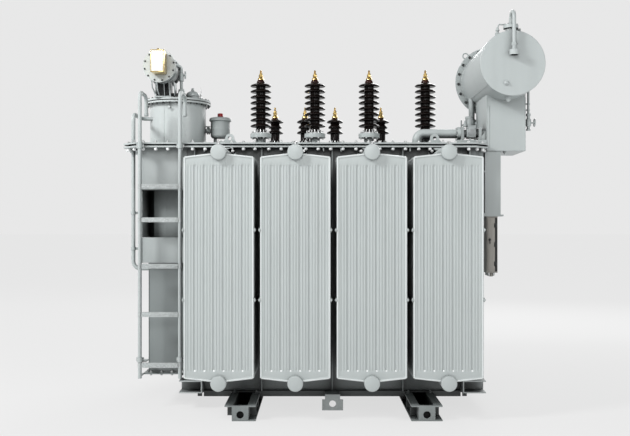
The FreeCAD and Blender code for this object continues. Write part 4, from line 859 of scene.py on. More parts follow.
def add_teeth(shape, foot, foot_reach, tip_reach):
    """Adds the twelve teeth of a clamp ring, which lean in on the porcelain's foot."""
    for way in ways(12):
        tip = Vector(foot) + way * tip_reach + Vector((0, 0, 0.024))
        add_rod(shape, Vector(foot) + way * foot_reach, tip, 0.0042, 8, 0.001)


bushing_steel = bmesh.new()
bushing_bolts = bmesh.new()
clamps = bmesh.new()
for number in range(1, 5):
    low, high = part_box(f"hv_insulator_{number}")
    x, y = (low.x + high.x) / 2, (low.y + high.y) / 2
    flange_top = low.z
    for spot in circle(x, y, 0.072, 8, 0.5):
        add_bolt(bushing_bolts, (*spot, flange_top), up, 0.0095, 0.014)
        add_bolt(bushing_bolts, (*spot, flange_top - 0.034), down, 0.0095)
    for way in ways(4, 0.5):
        side = Vector((-way.y, way.x, 0)) * 0.003
        root = Vector((x, y, cover_high.z)) + way * 0.041
        gusset = [root - side, root + way * 0.040 - side, root + Vector((0, 0, 0.062)) - side]
        add_prism(bushing_steel, gusset, (0, 0, 0), side * 2)
    ring = [(0.050, 0), (0.062, 0.001), (0.062, 0.009), (0.056, 0.013), (0.048, 0.013)]
    add_turned(clamps, ring, (x, y, flange_top + 0.0005), up, 36)
    add_teeth(clamps, (x, y, flange_top + 0.010), 0.052, 0.049)
for number in range(1, 5):
    low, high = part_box(f"lv_insulator_{number}")
    x, y = (low.x + high.x) / 2, (low.y + high.y) / 2
    for spot in circle(x, y, 0.070, 6):
        add_bolt(bushing_bolts, (*spot, cover_high.z + 0.024), up, 0.0095, 0.018)
    add_teeth(clamps, (x, y, low.z + 0.002), 0.054, 0.050)
finish_piece("bushing_gussets", bushing_steel, tank_paint)
finish_piece("bushing_bolts", bushing_bolts, galvanized)
finish_piece("bushing_clamps", clamps, galvanized)

# Brass terminals on the bushings: a wide base, two hexagon nuts and a threaded stud end, all
# turned from bar and screwed on the conductor that comes up through the porcelain.
terminals = bmesh.new()
for kind, reach in (("hv", 0.080), ("lv", 0.094)):
    for number in range(1, 5):
        low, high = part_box(f"{kind}_insulator_{number}")
        x, y, z = (low.x + high.x) / 2, (low.y + high.y) / 2, high.z
        base = [(0.0265, 0), (0.0260, reach * 0.06), (0.0235, reach * 0.14), (0.0185, reach * 0.24)]
        base += [(0.0150, reach * 0.29), (0.0140, reach * 0.34)]
        add_turned(terminals, base, (x, y, z), up, 24)
        wide_nut = [(0.0185, 0), (0.0190, reach * 0.02), (0.0190, reach * 0.14), (0.0170, reach * 0.16)]
        add_turned(terminals, wide_nut, (x, y, z + reach * 0.34), up, 6, 0.3)
        add_turned(terminals, [(0.0110, 0), (0.0110, reach * 0.03)], (x, y, z + reach * 0.50), up, 20)
        lock_nut = [(0.0140, 0), (0.0145, reach * 0.02), (0.0145, reach * 0.12), (0.0130, reach * 0.14)]
        add_turned(terminals, lock_nut, (x, y, z + reach * 0.53), up, 6, 0.8)
        stud = [(0.0085, 0)]
        for step in range(8):
            stud += [(0.0085, reach * (0.67 + 0.035 * step)), (0.0072, reach * (0.685 + 0.035 * step))]
        stud += [(0.0085, reach * 0.955), (0.0065, reach)]
        add_turned(terminals, stud, (x, y, z), up, 12)
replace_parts(finish_piece("bushing_studs", terminals, brass), "bushing_terminals")

# ---- lifting eyes ----------------------------------------------------------------------------
# Four flame-cut plate eyes carry the cover when it is lifted off. Each is welded upright on a
# small pad, with a run of weld round its foot.
repaint(tank_paint, "lifting_lugs")
eyes = bmesh.new()
for side in (-1, 1):
    for face in (-1, 1):
        x = side * 0.823
        y = face * (tank_high.y + 0.010)
        add_block(eyes, (x - 0.056, y - 0.024, cover_high.z), (x + 0.056, y + 0.024, cover_high.z + 0.008),
                  0.002)
        for edge in (-1, 1):
            add_bead(eyes, (x - 0.036, y + edge * 0.011, cover_high.z + 0.010),
                     (x + 0.036, y + edge * 0.011, cover_high.z + 0.010), 0.004)
            cheek = [(x + edge * 0.036, y - 0.010, cover_high.z + 0.008),
                     (x + edge * 0.054, y - 0.010, cover_high.z + 0.008)]
            cheek += [(x + edge * 0.036, y - 0.010, cover_high.z + 0.032)]
            add_prism(eyes, cheek, (0, 0, 0), (0, 0.020, 0))
finish_piece("lifting_eye_feet", eyes, tank_paint)

# ---- turret ----------------------------------------------------------------------------------
# The tap changer turret is a rolled and seam-welded drum with a ring at its foot. A bolted lid
# closes it over a rubber seal, and the nuts stand under the flange.
# The turret, its lid, its seam and the small conservator get a paler copy of the tank's enamel: painted
# light.
lit_turret_paint = enamel("turret_lit_paint_grey", (0.540, 0.580, 0.577), 0.26)
repaint(lit_turret_paint, "turret_shell", "turret_cover")
dark_bolt = metal("blackened_bolt_steel", (0.050, 0.052, 0.052), 0.46, (40.0, 40.0, 40.0), 0.3, 0.4)
turret_low, turret_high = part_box("turret_shell")
lid_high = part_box("turret_cover")[1]
turret_x = (turret_low.x + turret_high.x) / 2
turret_radius = 0.240
flange_radius = (turret_high.x - turret_low.x) / 2
turret = bmesh.new()
turret_bolts = bmesh.new()
for way in ways(28, 0.5):
    spot = Vector((turret_x, 0, 0)) + way * (flange_radius - 0.016)
    add_bolt(turret_bolts, (spot.x, spot.y, lid_high.z), up, 0.0085, 0.004)
    add_rod(turret_bolts, (spot.x, spot.y, turret_high.z), (spot.x, spot.y, lid_high.z - 0.016), 0.005, 6)
    add_bolt(turret_bolts, (spot.x, spot.y, turret_high.z - 0.014), down, 0.0085, 0.006)
    foot = Vector((turret_x, 0, 0)) + way * (turret_radius + 0.015)
    add_bolt(turret_bolts, (foot.x, foot.y, cover_high.z + 0.012), up, 0.0075, 0.008)
finish_piece("turret_bolts", turret_bolts, dark_bolt)
seam_turn = math.radians(250)
seam = (turret_x + turret_radius * math.cos(seam_turn), turret_radius * math.sin(seam_turn))
add_bead(turret, (*seam, cover_high.z + 0.012), (*seam, turret_high.z - 0.014), 0.0022)
for turn in (math.radians(262), math.radians(140)):
    way = Vector((math.cos(turn), math.sin(turn), 0))
    root = Vector((turret_x, 0, turret_high.z - 0.055)) + way * turret_radius
    add_rod(turret, root, root + way * 0.022, 0.007, 12, 0.001)
    add_rod(turret, root + way * 0.022, root + way * 0.026, 0.011, 12, 0.001)
finish_piece("turret_seam_and_studs", turret, lit_turret_paint)
seal = bmesh.new()
add_turned(seal,
           [(flange_radius - 0.0195, 0), (flange_radius - 0.0175, 0.004), (flange_radius - 0.0195, 0.008)],
           (turret_x, 0, turret_high.z), up, 72)
finish_piece("turret_seal", seal, gasket_rubber)

# On the turret lid stand the domed gear head with its flange bolts, a filling valve with its
# cross handle, a bleed rod and the flange of the oil pipe from the small conservator.
head = bmesh.new()
head_low, head_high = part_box("tap_head")
hx, hy, hz = (head_low.x + head_high.x) / 2, (head_low.y + head_high.y) / 2, head_low.z
dome = [(0.058, 0), (0.058, 0.012), (0.052, 0.014), (0.052, 0.020), (0.058, 0.022), (0.058, 0.030)]
for degrees in range(0, 75, 8):
    turn = math.radians(degrees)
    dome.append((0.055 * math.cos(turn), 0.032 + 0.034 * math.sin(turn)))
dome += [(0.014, 0.066), (0.014, 0.078), (0.010, 0.082), (0.010, 0.090), (0, 0.090)]
add_turned(head, dome, (hx, hy, hz), up, 40)
add_block(head, (hx - 0.190, hy - 0.028, hz), (hx - 0.060, hy + 0.028, hz + 0.046), 0.004)
add_rod(head, (hx - 0.100, hy - 0.010, hz + 0.046), (hx - 0.100, hy - 0.010, hz + 0.072), 0.022, 20, 0.002)
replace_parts(finish_piece("gear_head", head, tank_paint), "tap_head")
head_bolts = bmesh.new()
for spot in circle(hx, hy, 0.0515, 8, 0.25):
    add_bolt(head_bolts, (*spot, hz + 0.030), up, 0.0048)
bleed = (hx + 0.072, hy - 0.02, hz)
add_rod(head_bolts, bleed, (*bleed[:2], hz + 0.092), 0.0035, 10)
bleed_body = [(0.010, 0), (0.010, 0.006), (0.006, 0.012), (0.006, 0.026), (0.010, 0.028), (0.010, 0.033)]
add_turned(head_bolts, bleed_body, bleed, up, 12)
finish_piece("gear_head_fittings", head_bolts, galvanized)

# ---- tap changer conservator -----------------------------------------------------------------
# A small drum of rolled plate with bolted end flanges lies on a gusseted saddle. Its front
# flange carries the brass-framed oil gauge, and a pipe with a valve drops from its side.
# The small conservator takes the turret's paler enamel: painted light.
repaint(lit_turret_paint, "tap_conservator")
repaint(tank_paint, "tap_saddle")
drum_low, drum_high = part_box("tap_conservator")
tap_x, tap_z = (drum_low.x + drum_high.x) / 2, (drum_low.z + drum_high.z) / 2
tap_bolts = bmesh.new()
for x, z in circle(tap_x, tap_z, 0.121, 12, 0.4):
    add_bolt(tap_bolts, (x, drum_low.y, z), (0, -1, 0), 0.0065, 0.003)
    add_bolt(tap_bolts, (x, drum_low.y + 0.014, z), (0, 1, 0), 0.0065)
    add_bolt(tap_bolts, (x, drum_high.y, z), (0, 1, 0), 0.0065, 0.003)
    add_bolt(tap_bolts, (x, drum_high.y - 0.014, z), (0, -1, 0), 0.0065)
finish_piece("tap_conservator_bolts", tap_bolts, dark_bolt)


def add_pipe(shape, route, radius, bend, sides=16):
    """Adds a bent pipe along a route of corners, each rounded to the bend radius."""
    points = [Vector(p) for p in route]
    line = [points[0]]
    for before, corner, after in zip(points, points[1:], points[2:]):
        to_start, to_end = (before - corner).normalized(), (after - corner).normalized()
        half = to_start.angle(to_end) / 2
        back = bend / math.tan(half)
        middle = corner + (to_start + to_end).normalized() * (bend / math.sin(half))
        start, end = corner + to_start * back - middle, corner + to_end * back - middle
        axis, sweep = start.cross(end).normalized(), start.angle(end)
        for step in range(9):
            line.append(middle + Matrix.Rotation(sweep * step / 8, 3, axis) @ start)
    line.append(points[-1])
    rings = []
    normal = None
    for place, spot in enumerate(line):
        way = (line[min(place + 1, len(line) - 1)] - line[max(place - 1, 0)]).normalized()
        if normal is None:
            normal = way.orthogonal().normalized()
        normal = (normal - way * normal.dot(way)).normalized()
        across = way.cross(normal)
        ring = []
        for step in range(sides):
            turn = math.tau * step / sides
            ring.append(shape.verts.new(spot + (normal * math.cos(turn) + across * math.sin(turn)) * radius))
        rings.append(ring)
    for first, second in zip(rings, rings[1:]):
        for step in range(sides):
            follow = (step + 1) % sides
            shape.faces.new((first[step], first[follow], second[follow], second[step]))
    shape.faces.new(tuple(reversed(rings[0])))
    shape.faces.new(tuple(rings[-1]))


tap_pipes = bmesh.new()
lid_top = lid_high.z
valve_x, valve_y = turret_x + 0.062, -0.215
add_pipe(tap_pipes, [(tap_x + 0.095, valve_y, tap_z + 0.040), (valve_x, valve_y, tap_z + 0.040),
                     (valve_x, valve_y, lid_top)], 0.013, 0.030)
add_turned(tap_pipes,
           [(0.030, 0), (0.030, 0.008), (0.016, 0.012), (0.016, 0.030), (0.024, 0.034), (0.026, 0.052),
                       (0.024, 0.070), (0.018, 0.074)], (valve_x, valve_y, lid_top), up, 20)
add_rod(tap_pipes, (valve_x, valve_y, tap_z - 0.090), (valve_x, valve_y, tap_z - 0.020), 0.021, 16, 0.003)
handle = (valve_x + 0.034, valve_y - 0.01)
add_rod(tap_pipes, (valve_x - 0.004, valve_y, tap_z - 0.040), (*handle, tap_z - 0.040), 0.008, 10)
add_rod(tap_pipes, (*handle, tap_z - 0.070), (*handle, tap_z - 0.006), 0.007, 10, 0.002)
for start, end in (((tap_x - 0.086, -0.330, tap_z - 0.070), (tap_x - 0.056, -0.240, lid_top)),
                   ((tap_x - 0.040, -0.330, tap_z - 0.100), (tap_x - 0.030, -0.235, lid_top))):
    knee = (start[0] + 0.004, start[1] + 0.010, start[2] - 0.080)
    add_pipe(tap_pipes, [start, knee, end], 0.0055, 0.030, 10)
finish_piece("tap_conservator_pipes", tap_pipes, tank_paint)

saddle_low, saddle_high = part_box("tap_saddle")
saddle_webs = bmesh.new()
for step in range(3):
    x = tap_x + 0.010 + step * 0.042
    web = [(x, saddle_low.y + 0.012, lid_top + 0.010), (x, saddle_low.y - 0.030, saddle_high.z - 0.016)]
    web += [(x, saddle_high.y - 0.010, saddle_high.z - 0.016), (x, saddle_high.y - 0.010, lid_top + 0.010)]
    add_prism(saddle_webs, web, (0, 0, 0), (0.006, 0, 0))
cradle = []
for step in range(9):
    turn = math.radians(234 + step * 13.5)
    cradle.append((tap_x + 0.114 * math.cos(turn), tap_z + 0.114 * math.sin(turn)))
band = [(x, saddle_low.y - 0.030, z) for x, z in cradle]
band += [(tap_x + 0.121 * math.cos(math.radians(342 - step * 13.5)), saddle_low.y - 0.030,
          tap_z + 0.121 * math.sin(math.radians(342 - step * 13.5))) for step in range(9)]
add_prism(saddle_webs, band, (0, 0, 0), (0, 0.120, 0))
finish_piece("tap_saddle_webs", saddle_webs, tank_paint)

gauge_low, gauge_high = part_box("gauge_frame")
face_low, face_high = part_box("gauge_plate")
gauge_brass = metal("lacquered_brass", (0.80, 0.62, 0.30), 0.24, (30.0, 30.0, 30.0), 0.10)
gauge = bmesh.new()
rim = 0.009
gx0, gx1, gz0, gz1 = gauge_low.x, gauge_high.x, gauge_low.z, gauge_high.z
add_block(gauge, (gx0 + 0.004, gauge_low.y + 0.012, gz0 + 0.004), (gx1 - 0.004, gauge_high.y, gz1 - 0.004),
          0.003)
for low, high in (((gx0, gz0), (gx1, gz0 + rim)), ((gx0, gz1 - rim), (gx1, gz1)),
                  ((gx0, gz0), (gx0 + rim, gz1)), ((gx1 - rim, gz0), (gx1, gz1))):
    add_block(gauge, (low[0], gauge_low.y, low[1]), (high[0], gauge_low.y + 0.020, high[1]), 0.002)
knob = [(0.014, 0), (0.014, 0.006), (0.008, 0.008), (0.008, 0.012), (0.011, 0.014), (0.009, 0.019),
        (0, 0.020)]
add_turned(gauge, knob, ((gx0 + gx1) / 2, gauge_low.y + 0.040, gz1 - 0.004), up, 24)
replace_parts(finish_piece("oil_gauge_case", gauge, gauge_brass), "gauge_frame")
gauge_face = enamel("gauge_face_white", (0.86, 0.86, 0.84), 0.25, 0.2)
dial = bmesh.new()
add_block(dial, tuple(face_low), tuple(face_high), 0.001)
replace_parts(finish_piece("oil_gauge_face", dial, gauge_face), "gauge_plate")

# ---- pressure relief valve -------------------------------------------------------------------
# A spring-loaded relief valve stands on a leg beside the turret. Its lid overhangs a pressed
# can, a branch with a small cock leads to the turret, and a red cap marks its pin.
repaint(tank_paint, "relief_valve")
relief_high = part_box("relief_valve")[1]
cap_low, cap_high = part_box("relief_cap")
rx = (cap_low.x + cap_high.x) / 2
can_low = relief_high.z - 0.166
relief = bmesh.new()
can = [(0.060, -0.014), (0.072, -0.012), (0.082, 0.002), (0.083, 0.010), (0.083, 0.060), (0.0835, 0.062)]
can += [(0.0835, 0.066), (0.083, 0.068), (0.083, 0.126), (0.086, 0.130), (0.095, 0.134), (0.095, 0.144),
        (0.092, 0.156)]
can += [(0.080, 0.163), (0.060, 0.166), (0, 0.166)]
add_turned(relief, can, (rx, 0, can_low), up, 56)
leg = [(0.030, 0), (0.030, 0.010), (0.014, 0.014), (0.014, can_low - cover_high.z)]
add_turned(relief, leg, (rx - 0.044, 0, cover_high.z), up, 20)
branch_z = can_low + 0.050
add_rod(relief, (turret_x + turret_radius - 0.004, 0, branch_z), (rx - 0.070, 0, branch_z), 0.018, 20)
for x in (turret_x + turret_radius + 0.010, rx - 0.100):
    add_rod(relief, (x, 0, branch_z), (x + 0.010, 0, branch_z), 0.030, 20, 0.001)
add_rod(relief, (rx - 0.106, 0, branch_z), (rx - 0.106, 0, branch_z + 0.034), 0.010, 12, 0.001)
add_block(relief, (rx - 0.126, -0.008, branch_z + 0.034), (rx - 0.086, 0.008, branch_z + 0.042), 0.002)
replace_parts(finish_piece("relief_valve_can", relief, tank_paint), "relief_valve")
red_plastic = enamel("red_cap_plastic", (0.36, 0.012, 0.014), 0.35, 0.8)
cap = bmesh.new()
add_turned(cap, [(0.022, 0), (0.024, 0.002), (0.024, 0.029), (0.021, 0.034), (0.016, 0.036), (0, 0.036)],
           (rx, 0, cap_low.z), up, 32)
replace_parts(finish_piece("relief_valve_cap", cap, red_plastic), "relief_cap")
socket = bmesh.new()
add_block(socket, (rx + 0.010, -0.340, cover_high.z), (rx + 0.070, -0.285, cover_high.z + 0.038), 0.003)
add_bolt(socket, (rx + 0.040, -0.312, cover_high.z + 0.038), up, 0.009)
finish_piece("thermometer_pocket", socket, tank_paint)

# ---- side pipe -------------------------------------------------------------------------------
# A small oil pipe leaves the turret's side, passes through the cover's overhang in a collar
# above and below, and runs down past the bay to its foot, held by strap clips.
repaint(tank_paint, "side_pipe")
side_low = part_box("side_pipe")[0]
pipe_x, pipe_y = side_low.x + 0.032, side_low.y + 0.032
clips = bmesh.new()
for level in (1.540, 1.250):
    add_rod(clips, (pipe_x, pipe_y, level), (pipe_x, pipe_y, level + 0.026), 0.021, 20, 0.002)
    add_block(clips, (pipe_x + 0.012, pipe_y - 0.003, level + 0.003),
              (pipe_x + 0.074, pipe_y + 0.003, level + 0.023), 0.001)
    add_bolt(clips, (pipe_x + 0.034, pipe_y - 0.003, level + 0.013), (0, -1, 0), 0.006, 0.004)
finish_piece("side_pipe_clips", clips, tank_paint)
collar_bolts = bmesh.new()
for spot in circle(pipe_x, pipe_y, 0.0245, 4, 0.5):
    add_bolt(collar_bolts, (*spot, cover_high.z + 0.012), up, 0.0042)
finish_piece("side_pipe_collar_bolts", collar_bolts, galvanized)

# ---- ladder ----------------------------------------------------------------------------------
# Two bent tubes hook over the cover, with flat treads punched with raised buttons for grip.
# Short bars clamp the rails to the cover's rim and to the bay's foot.
repaint(tank_paint, "ladder_rails")
ladder_low, ladder_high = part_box("ladder_rails")
tread_low, tread_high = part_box("ladder_treads")
rail_x = (ladder_low.x + 0.015, ladder_high.x - 0.015)
rail_y = (tread_low.y + tread_high.y) / 2
tread_grip = enamel("tread_paint_worn", (0.500, 0.535, 0.533), 0.5, 1.2)
grip_nodes = tread_grip.node_tree.nodes
grip_place = add_node(grip_nodes, "TexCoord").outputs["Object"]
grip_dots = add_node(grip_nodes, "TexVoronoi", {"Scale": 95.0}, {"Vector": grip_place})
grip_spans = {"From Min": 0.25, "From Max": 0.60, "To Min": 1.20, "To Max": 0.86}
grip_tone = add_node(grip_nodes, "MapRange", grip_spans, {"Value": grip_dots.outputs["Distance"]})
grip_color = grip_nodes["Principled BSDF"].inputs["Base Color"]
worn = scaled(grip_nodes, grip_color.links[0].from_socket, grip_tone.outputs["Result"])
link(grip_nodes, worn, grip_color)
repaint(tread_grip, "ladder_treads")
treads = bmesh.new()
for level in (0.344, 0.745, 1.128, 1.494, 1.759):
    for step in range(22):
        x = tread_low.x + 0.012 + step * (tread_high.x - tread_low.x - 0.024) / 21
        for row in (-0.010, 0.010):
            add_turned(treads, [(0.0035, 0), (0.0028, 0.0018), (0, 0.0022)],
                       (x, rail_y + row, level + 0.018), up, 8)
        for row in (-0.010, 0.0, 0.010):
            offset = 0.005 if row == 0.0 else 0.0
            add_turned(treads, [(0.0030, 0), (0.0022, 0.0016), (0, 0.0020)],
                       (min(x + offset, tread_high.x - 0.004), tread_low.y, level + row), (0, -1, 0), 8)
    for x in rail_x:
        add_turned(treads, [(0.0162, 0), (0.0168, 0.004), (0.0162, 0.036)], (x, rail_y, level - 0.018), up,
                   20)
finish_piece("ladder_tread_buttons", treads, tread_grip)
clamps = bmesh.new()
clamp_bolts = bmesh.new()
hook_y = ladder_high.y - 0.015
for x in rail_x:
    for level in (cover_high.z - 0.032, 0.388):
        add_rod(clamps, (x, rail_y, level - 0.020), (x, rail_y, level + 0.020), 0.021, 20, 0.002)
        add_block(clamps, (x - 0.030, rail_y + 0.012, level - 0.016),
                  (x + 0.030, rail_y + 0.020, level + 0.016), 0.001)
        for side in (-1, 1):
            add_bolt(clamp_bolts, (x + side * 0.024, rail_y + 0.012, level), (0, -1, 0), 0.006, 0.005)
    stay_end = foot_low.y + 0.002 if x == rail_x[0] else -0.500
    add_block(clamps, (x - 0.006, rail_y + 0.018, 0.368), (x + 0.050, stay_end, 0.374), 0.001)
    end = ladder_high.z - 0.150 - 0.015
    add_rod(clamps, (x, hook_y, end - 0.012), (x, hook_y, end + 0.014), 0.0185, 20, 0.003)
finish_piece("ladder_clamps", clamps, tank_paint)
finish_piece("ladder_clamp_bolts", clamp_bolts, galvanized)

# ---- conservator -----------------------------------------------------------------------------
# The main conservator is a rolled drum with a dished front end. Its far end is a bolted cover
# on a flange, with a lifting ring, and a long weld seam runs low along its side.
repaint(tank_paint, "conservator_shell", "conservator_back_cover", "conservator_pedestal",
        "conservator_bracket")
front_low, front_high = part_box("conservator_front_end")
shell_low, shell_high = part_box("conservator_shell")
back_low, back_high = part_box("conservator_back_cover")
drum_x, drum_z = (front_low.x + front_high.x) / 2, (front_low.z + front_high.z) / 2
drum_radius = (front_high.x - front_low.x) / 2
end_plate = bmesh.new()
dish = [(drum_radius, 0), (drum_radius, 0.0055), (drum_radius - 0.003, 0.0078),
        (drum_radius - 0.010, 0.0080)]
dish += [(drum_radius * k, 0.0080 - 0.0042 * (1 - k * k)) for k in (0.85, 0.65, 0.45, 0.25, 0.1)]
dish.append((0, 0.0038))
add_turned(end_plate, dish, (drum_x, front_high.y, drum_z), (0, -1, 0), 96)
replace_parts(finish_piece("conservator_front_dish", end_plate, tank_paint), "conservator_front_end")
drum_bolts = bmesh.new()
flange_reach = (back_high.x - back_low.x) / 2
for x, z in circle(drum_x, drum_z, flange_reach - 0.022, 20, 4 / 18):
    add_bolt(drum_bolts, (x, shell_high.y - 0.014, z), (0, -1, 0), 0.0105, 0.007)
    add_bolt(drum_bolts, (x, back_high.y, z), (0, 1, 0), 0.0105, 0.003)
finish_piece("conservator_bolts", drum_bolts, dark_bolt)
drum = bmesh.new()
seam_turn = math.radians(221)
sx, sz = drum_x + drum_radius * math.cos(seam_turn), drum_z + drum_radius * math.sin(seam_turn)
add_bead(drum, (sx, shell_low.y + 0.002, sz), (sx, shell_high.y - 0.014, sz), 0.0032)
weld_y = shell_high.y - 0.016
for (x, z), (next_x, next_z) in laps(circle(drum_x, drum_z, drum_radius + 0.001, 30)):
    add_bead(drum, (x, weld_y, z), (next_x, weld_y, next_z), 0.0045)
ring_turn = math.radians(133)
ring_x = drum_x + (flange_reach - 0.006) * math.cos(ring_turn)
ring_z = drum_z + (flange_reach - 0.006) * math.sin(ring_turn)
loop = [(x, shell_high.y + 0.006, z) for x, z in circle(ring_x - 0.012, ring_z + 0.014, 0.024, 24)]
for first, second in laps(loop):
    add_rod(drum, first, second, 0.006, 10)
drain_plug = [(0.026, -0.02), (0.026, 0.004), (0.018, 0.010), (0.018, 0.022), (0.010, 0.036), (0, 0.040)]
add_turned(drum, drain_plug, (drum_x - 0.02, -0.660, drum_z - drum_radius + 0.001), down, 20)
finish_piece("conservator_seam_and_ring", drum, tank_paint)

# ---- conservator pedestal and bracket --------------------------------------------------------
# The conservator stands on a welded box that hangs past the cover's right end. Two beams tie
# it to the cover and a column with a ledge carries it from the tank's end wall.
stand_low, stand_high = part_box("conservator_pedestal")
arm_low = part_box("conservator_bracket")[0]
stand = bmesh.new()
stand_top = drum_z - 0.20
for x in (stand_low.x + 0.001, stand_high.x - 0.001):
    for y in (stand_low.y + 0.001, stand_high.y - 0.001):
        add_bead(stand, (x, y, stand_low.z + 0.004), (x, y, stand_top - 0.03), 0.0038)
foot_seam = (stand_low.y + 0.001, stand_low.z + 0.003)
add_bead(stand, (stand_low.x, *foot_seam), (stand_high.x, *foot_seam), 0.0042)
saddle_seam = []
for step in range(15):
    x = stand_low.x + (stand_high.x - stand_low.x) * step / 14
    drop = math.sqrt(max(0.0, (drum_radius + 0.001) ** 2 - (x - drum_x) ** 2))
    saddle_seam.append((x, stand_low.y - 0.001, drum_z - drop))
for first, second in zip(saddle_seam, saddle_seam[1:]):
    add_bead(stand, first, second, 0.0055)
for y in (-0.435, -0.015):
    for x in (1.060, 1.130, 1.205):
        add_bolt(stand, (x, y, cover_high.z + 0.038), up, 0.010, 0.008)
    gusset = [(1.262, y - 0.005, cover_high.z + 0.038), (1.200, y - 0.005, cover_high.z + 0.038)]
    gusset += [(1.262, y - 0.005, cover_high.z + 0.120)]
    add_prism(stand, gusset, (0, 0, 0), (0, 0.010, 0))
for x in (1.300, 1.340):
    add_bolt(stand, (x, -0.430, arm_low.z), down, 0.009, 0.006)
add_bolt(stand, (stand_low.x + 0.155, stand_low.y + 0.040, stand_low.z), down, 0.014, 0.012)
add_block(stand, (stand_low.x + 0.004, stand_low.y - 0.004, stand_low.z + 0.030),
          (stand_low.x + 0.022, stand_low.y + 0.001, stand_top - 0.10), 0.002)
finish_piece("pedestal_welds_and_bolts", stand, tank_paint)

# A sampling pipe with a shut-off valve comes down from the drum beside the pedestal. Its valve has a brass
# body, a steel hand wheel and a blank plug at the lower end; the whole piece is given the tank's grey
# enamel.
sampling = bmesh.new()
px, py = stand_high.x + 0.034, stand_low.y + 0.045
drum_side = drum_z - math.sqrt(drum_radius ** 2 - (px - drum_x) ** 2)
add_pipe(sampling, [(px, py, drum_side + 0.012), (px, py, 2.36)], 0.010, 0.02, 14)
add_turned(sampling,
           [(0.018, 0), (0.018, 0.012), (0.013, 0.016), (0.013, 0.030), (0.022, 0.040), (0.024, 0.065),
                      (0.022, 0.090), (0.014, 0.100), (0.014, 0.118), (0.019, 0.122), (0.019, 0.140)],
           (px, py, 2.228), up, 20)
add_rod(sampling, (px + 0.020, py, 2.293), (px + 0.052, py, 2.293), 0.007, 12)
hub = (px + 0.050, py, 2.293)
for (y, z), (next_y, next_z) in laps(circle(hub[1], hub[2], 0.030, 20)):
    add_rod(sampling, Vector((hub[0], y, z)), Vector((hub[0], next_y, next_z)), 0.004, 8)
for y, z in circle(hub[1], hub[2], 0.030, 3):
    add_rod(sampling, hub, (hub[0], y, z), 0.003, 8)
for level in (2.44, 2.39):
    add_block(sampling, (stand_high.x - 0.001, py - 0.004, level), (px + 0.013, py + 0.004, level + 0.014),
              0.001)
finish_piece("sampling_pipe", sampling, tank_paint)

# ---- conservator handhole and breather -------------------------------------------------------
# A bolted handhole on top of the drum carries the breather's gooseneck, a bent steel tube that
# hangs its cap in front of the drum, with a filler valve on one side and a cock on the other.
repaint(tank_paint, "breather_pipe")
neck = bmesh.new()
neck_bolts = bmesh.new()
hole_x, hole_y = drum_x, -0.660
breather_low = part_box("breather_pipe")[0]
for spot in circle(hole_x, hole_y, 0.0505, 10, 0.5):
    add_bolt(neck_bolts, (*spot, drum_z + drum_radius + 0.058), up, 0.0048, 0.004)
    add_bolt(neck_bolts, (*spot, drum_z + drum_radius + 0.028), down, 0.0048)
finish_piece("handhole_bolts", neck_bolts, dark_bolt)
tip_low = breather_low.z
cap_at = (hole_x, breather_low.y + 0.037)
skirt = [(0.030, 0), (0.0365, 0.001), (0.0368, 0.010), (0.0345, 0.012), (0.0345, 0.016), (0.0368, 0.018)]
skirt += [(0.0368, 0.030), (0.034, 0.037), (0.026, 0.041), (0.017, 0.046), (0.017, 0.062), (0.0155, 0.064)]
add_turned(neck, skirt, (*cap_at, tip_low), up, 32)
add_turned(neck, [(0.020, 0), (0.020, 0.020), (0.0165, 0.022)], (*cap_at, tip_low + 0.075), up, 6)
x = hole_x - 0.106
base_z = drum_z + math.sqrt(drum_radius ** 2 - 0.106 ** 2)
add_block(neck, (x - 0.018, hole_y - 0.014, base_z - 0.006), (x + 0.018, hole_y + 0.014, base_z + 0.020),
          0.003)
add_rod(neck, (x, hole_y, base_z + 0.018), (x, hole_y, base_z + 0.060), 0.010, 14, 0.001)
add_turned(neck, [(0.016, 0), (0.016, 0.010), (0.010, 0.012)], (x, hole_y, base_z + 0.034), up, 6)
add_pipe(neck,
         [(x, hole_y, base_z + 0.056), (x + 0.010, hole_y, base_z + 0.085),
          (x + 0.060, hole_y, base_z + 0.085)], 0.0055, 0.012, 10)
x = hole_x + 0.062
add_rod(neck, (hole_x + 0.036, hole_y, drum_z + drum_radius + 0.018),
        (x, hole_y, drum_z + drum_radius + 0.018), 0.010, 14)
add_turned(neck, [(0.010, 0), (0.016, 0.003), (0.016, 0.012), (0.010, 0.016), (0, 0.016)],
           (x, hole_y, drum_z + drum_radius + 0.018), (1, 0, 0), 12)
plate_y = front_low.y
drop_x = hole_x + 0.020
add_block(neck, (drop_x - 0.016, plate_y - 0.010, drum_z + 0.150),
          (drop_x + 0.016, plate_y + 0.002, drum_z + 0.180), 0.002)
add_rod(neck, (drop_x, plate_y - 0.012, drum_z + 0.165), (drop_x, plate_y - 0.030, drum_z + 0.165), 0.006,
        12)
add_pipe(neck, [(drop_x, plate_y - 0.020, drum_z + 0.165), (drop_x, plate_y - 0.020, drum_z + 0.235)],
         0.006, 0.01, 10)
add_turned(neck, [(0.020, -0.004), (0.020, 0.004), (0.012, 0.012), (0.007, 0.020), (0, 0.022)],
           (drum_x - 0.052, plate_y, drum_z - 0.157), (0, -1, 0), 20)
finish_piece("breather_fittings", neck, tank_paint)

